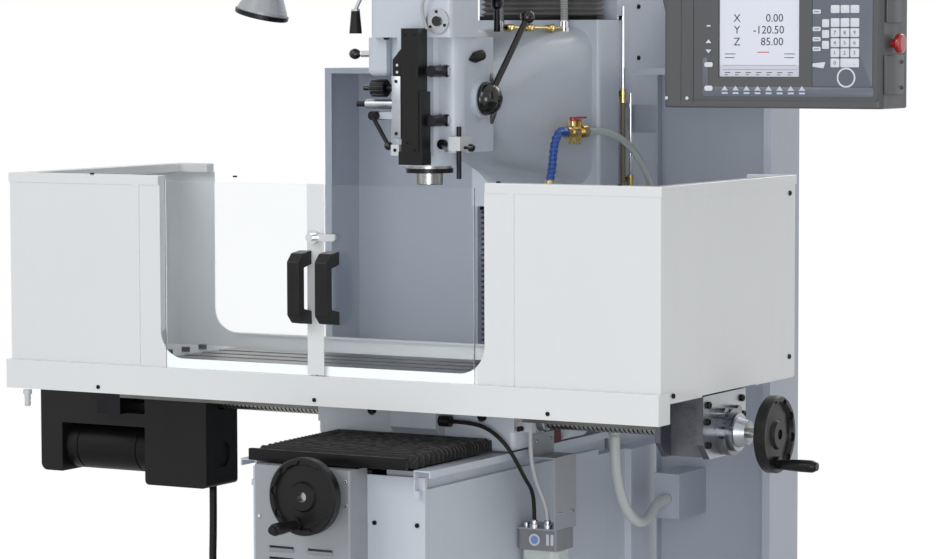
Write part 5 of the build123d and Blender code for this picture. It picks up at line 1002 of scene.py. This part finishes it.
# Pieces turned from one profile of (radius, height) pairs in mm: place, direction, steps, look.
LAMP_MOUTH, LAMP_AXIS = (-562, 250, 1622), (-0.2419, 0, -0.9703)
for name, at, toward, steps, material, slot, body, profile in (
    ("round_plate", (948, -98.4, 1499), FRONT, 32, KEY_WHITE, "pendant_plastic", "pendant_body",
     [(0, 0.8), (15.5, 0.8), (15.5, 2.0), (18.5, 2.0), (18.5, -0.5), (0, -0.5)]),
    ("drain_nipple", (-810, -268, 848), (0, 0, -1), 20, PALE_GREY, "black_plastic", "table_body",
     [(0, 34), (5, 34), (6.5, 31), (6.5, 25), (5.5, 24), (6.5, 20), (6.5, 10), (9, 9), (9, 0),
      (0, 0)]),
    ("pump_dial", PUMP_DIAL, FRONT, 28, DIAL_BLUE, "blue_plastic", "saddle_body",
     [(0, 1.2), (8.4, 1.2), (8.4, 0), (0, 0)]),
    ("tilt_ring", (0, 98, 1452), FRONT, 64, CAST_STEEL, "dark_steel", "ram_body",
     [(90, 0), (106, 0), (106, 9), (103, 12), (90, 12), (90, 0)]),
    ("tilt_pointer", (93, -2, 1530), (0.12, 0.97, 0.22), 24, BLACK, "black_plastic", "head_body",
     [(0, 46), (9.5, 46), (11, 44), (11, 20), (7, 12), (1, 0), (0, 0)]),
    ("clamp_knob", (106, -44, 1356), RIGHT, 20, GLOSS_BLACK, "black_plastic", "head_body",
     [(0, 22), (5, 22), (8, 19), (8, 12), (4.5, 9), (3, 8), (3, 0), (0, 0)]),
    ("speed_knob", (-113, -30, 1542), LEFT, 24, GLOSS_BLACK, "black_plastic", "head_body",
     [(0, 56), (4, 55), (8.5, 51), (11, 45), (11, 41), (8.5, 35), (5, 32), (5, 0), (0, 0)]),
    ("speed_knob_collar", (-116, -30, 1542), LEFT, 24, CHROME, "bright_steel", "head_body",
     [(5.4, 0), (8, 0), (8, 4), (6.8, 6), (6.8, 24), (5.4, 26), (5.4, 0)]),
    ("feed_hub_dome", (110, 45, 1452), RIGHT, 40, GLOSS_BLACK, "black_plastic", "feed_lever_body",
     [(0, 30), (7, 30), (9, 27), (17, 25), (25, 20), (31, 12), (33, 2), (33, -2), (0, -2)]),
    ("ram_oil_pipe", (94, 150, 1594), BACK, 14, BRASS, "brass", "ram_body",
     [(0, 250), (4, 250), (4, 0), (0, 0)]),
    ("ram_ball_stud", (60, 174, 1586), TOP, 24, DARK, "dark_steel", "ram_body",
     [(0, 70), (5, 69), (10, 65), (12, 58), (11, 51), (7, 47), (6, 46), (7, 0), (0, 0)]),
    ("lamp_rim", LAMP_MOUTH, LAMP_AXIS, 48, DARK, "lamp_paint", "lamp_head_body",
     [(50.5, -4), (50.5, 2), (56, 2), (58.5, 0), (58.5, -8), (55.6, -9), (50.5, -4)]),
    ("lamp_lens", LAMP_MOUTH, LAMP_AXIS, 48, LENS, "lamp_paint", "lamp_head_body",
     [(0, 1.5), (30, 1), (44, 0), (49.6, -2), (49.6, -5.5), (0, -5.5)]),
):
    bm = bmesh.new()
    turned(bm, profile, at, toward, steps)
    piece(name, bm, material, body)

# Pieces that are one block: ranges in mm, and the radius of the edges.
for name, x, y, z, bevel, material, slot, body in (
    ("bellows_frame_saddle", (-178, 178), (-74, -63.2), (754, 777), 1.0, MOTOR_BLACK,
     "way_cloth", "saddle_body"),
    ("bellows_frame_front", (-178, 178), (-401, -391), (754, 777), 1.0, MOTOR_BLACK,
     "way_cloth", "base"),
    ("bellows_frame_ram_low", (-142, 142), (462, 498), (1203, 1211.5), 1.0, MOTOR_BLACK,
     "way_cloth", "ram_body"),
    ("bellows_frame_ram_high", (-142, 142), (462, 498), (1611.5, 1620), 1.0, MOTOR_BLACK,
     "way_cloth", "ram_body"),
    ("screen_pane", (689, 852), (-97.2, -96.2), (1500, 1739), 0.3, SCREEN,
     "clear_plastic", "pendant_body"),
    ("screen_mark", (767, 791), SCREEN_PRINT, (1545, 1546.6), 0.0, RED_INK,
     "red_grip", "pendant_body"),
    ("scale_bar", (-26, -6), (-104, -88.5), (1374, 1498), 0.6, ALUMINIUM,
     "ground_steel", "head_body"),
    ("scale_foot", (-29, -10), (-104, -90.5), (1340, 1362), 0.8, PALE_GREY,
     "ground_steel", "head_body"),
):
    bm = bmesh.new()
    block(bm, x, y, z, bevel)
    piece(name, bm, material, body)


# Floor, light and world.

WHITE = (1.0, 1.0, 1.0, 1.0)
FLOOR_RADIUS = 3.0


def studio_floor():
    """Round pale floor that keeps the machine's shadow."""
    bm = bmesh.new()
    bmesh.ops.create_circle(bm, cap_ends=True, segments=96, radius=FLOOR_RADIUS)
    mesh = bpy.data.meshes.new("floor")
    bm.to_mesh(mesh)
    bm.free()
    material, tree, shader = start_material("floor_pale", Roughness=0.7)
    cloud = noise(tree, object_place(tree), FLOOR_SCALE, 2.0)
    tree.links.new(blend_colour(tree, cloud, rgb(232, 232, 231), rgb(238, 238, 237)),
                   shader.inputs["Base Color"])
    mesh.materials.append(material)
    floor = show(bpy.data.objects.new("floor", mesh))


def lamp(name, at, aim, size, power):
    """Large square soft box at one place that points at another."""
    data = bpy.data.lights.new(name, "AREA")
    data.shape = "SQUARE"
    data.size = size
    data.energy = power
    made = show(bpy.data.objects.new(name, data))
    turn = (Vector(aim) - Vector(at)).to_track_quat("-Z", "Y").to_matrix().to_4x4()
    made.matrix_world = Matrix.Translation(at) @ turn


def studio_world(level):
    """World that is white to the camera, in gloss and through glass, and plain elsewhere."""
    world = bpy.data.worlds.new("studio")
    bpy.context.scene.world = world
    world.use_nodes = True
    tree = world.node_tree
    tree.nodes.clear()
    rays = place(tree, "LightPath").outputs
    direct = maths(tree, "MAXIMUM", rays["Is Camera Ray"], rays["Is Glossy Ray"])
    seen = maths(tree, "MAXIMUM", direct, rays["Is Transmission Ray"])
    ambient = place(tree, "Background", {"Color": WHITE, "Strength": level})
    backdrop = place(tree, "Background", {"Color": WHITE, "Strength": 1.0})
    mix = place(tree, "MixShader", {0: seen, 1: ambient.outputs[0], 2: backdrop.outputs[0]})
    place(tree, "OutputWorld", {"Surface": mix.outputs[0]})


studio_floor()
lamp("key", (-2.2, -5.2, 4.6), (0, 0, 1.1), 3.2, 110.0)
lamp("front", (2.6, -6.0, 1.0), (0, 0, 0.9), 2.6, 115.0)
lamp("side", (4.8, -2.2, 3.4), (0.1, 0, 1.2), 3.0, 16.0)
lamp("back", (1.0, 4.6, 4.4), (0, 0.4, 1.4), 3.0, 90.0)
studio_world(0.47)
bpy.context.scene.view_settings.view_transform = "Standard"
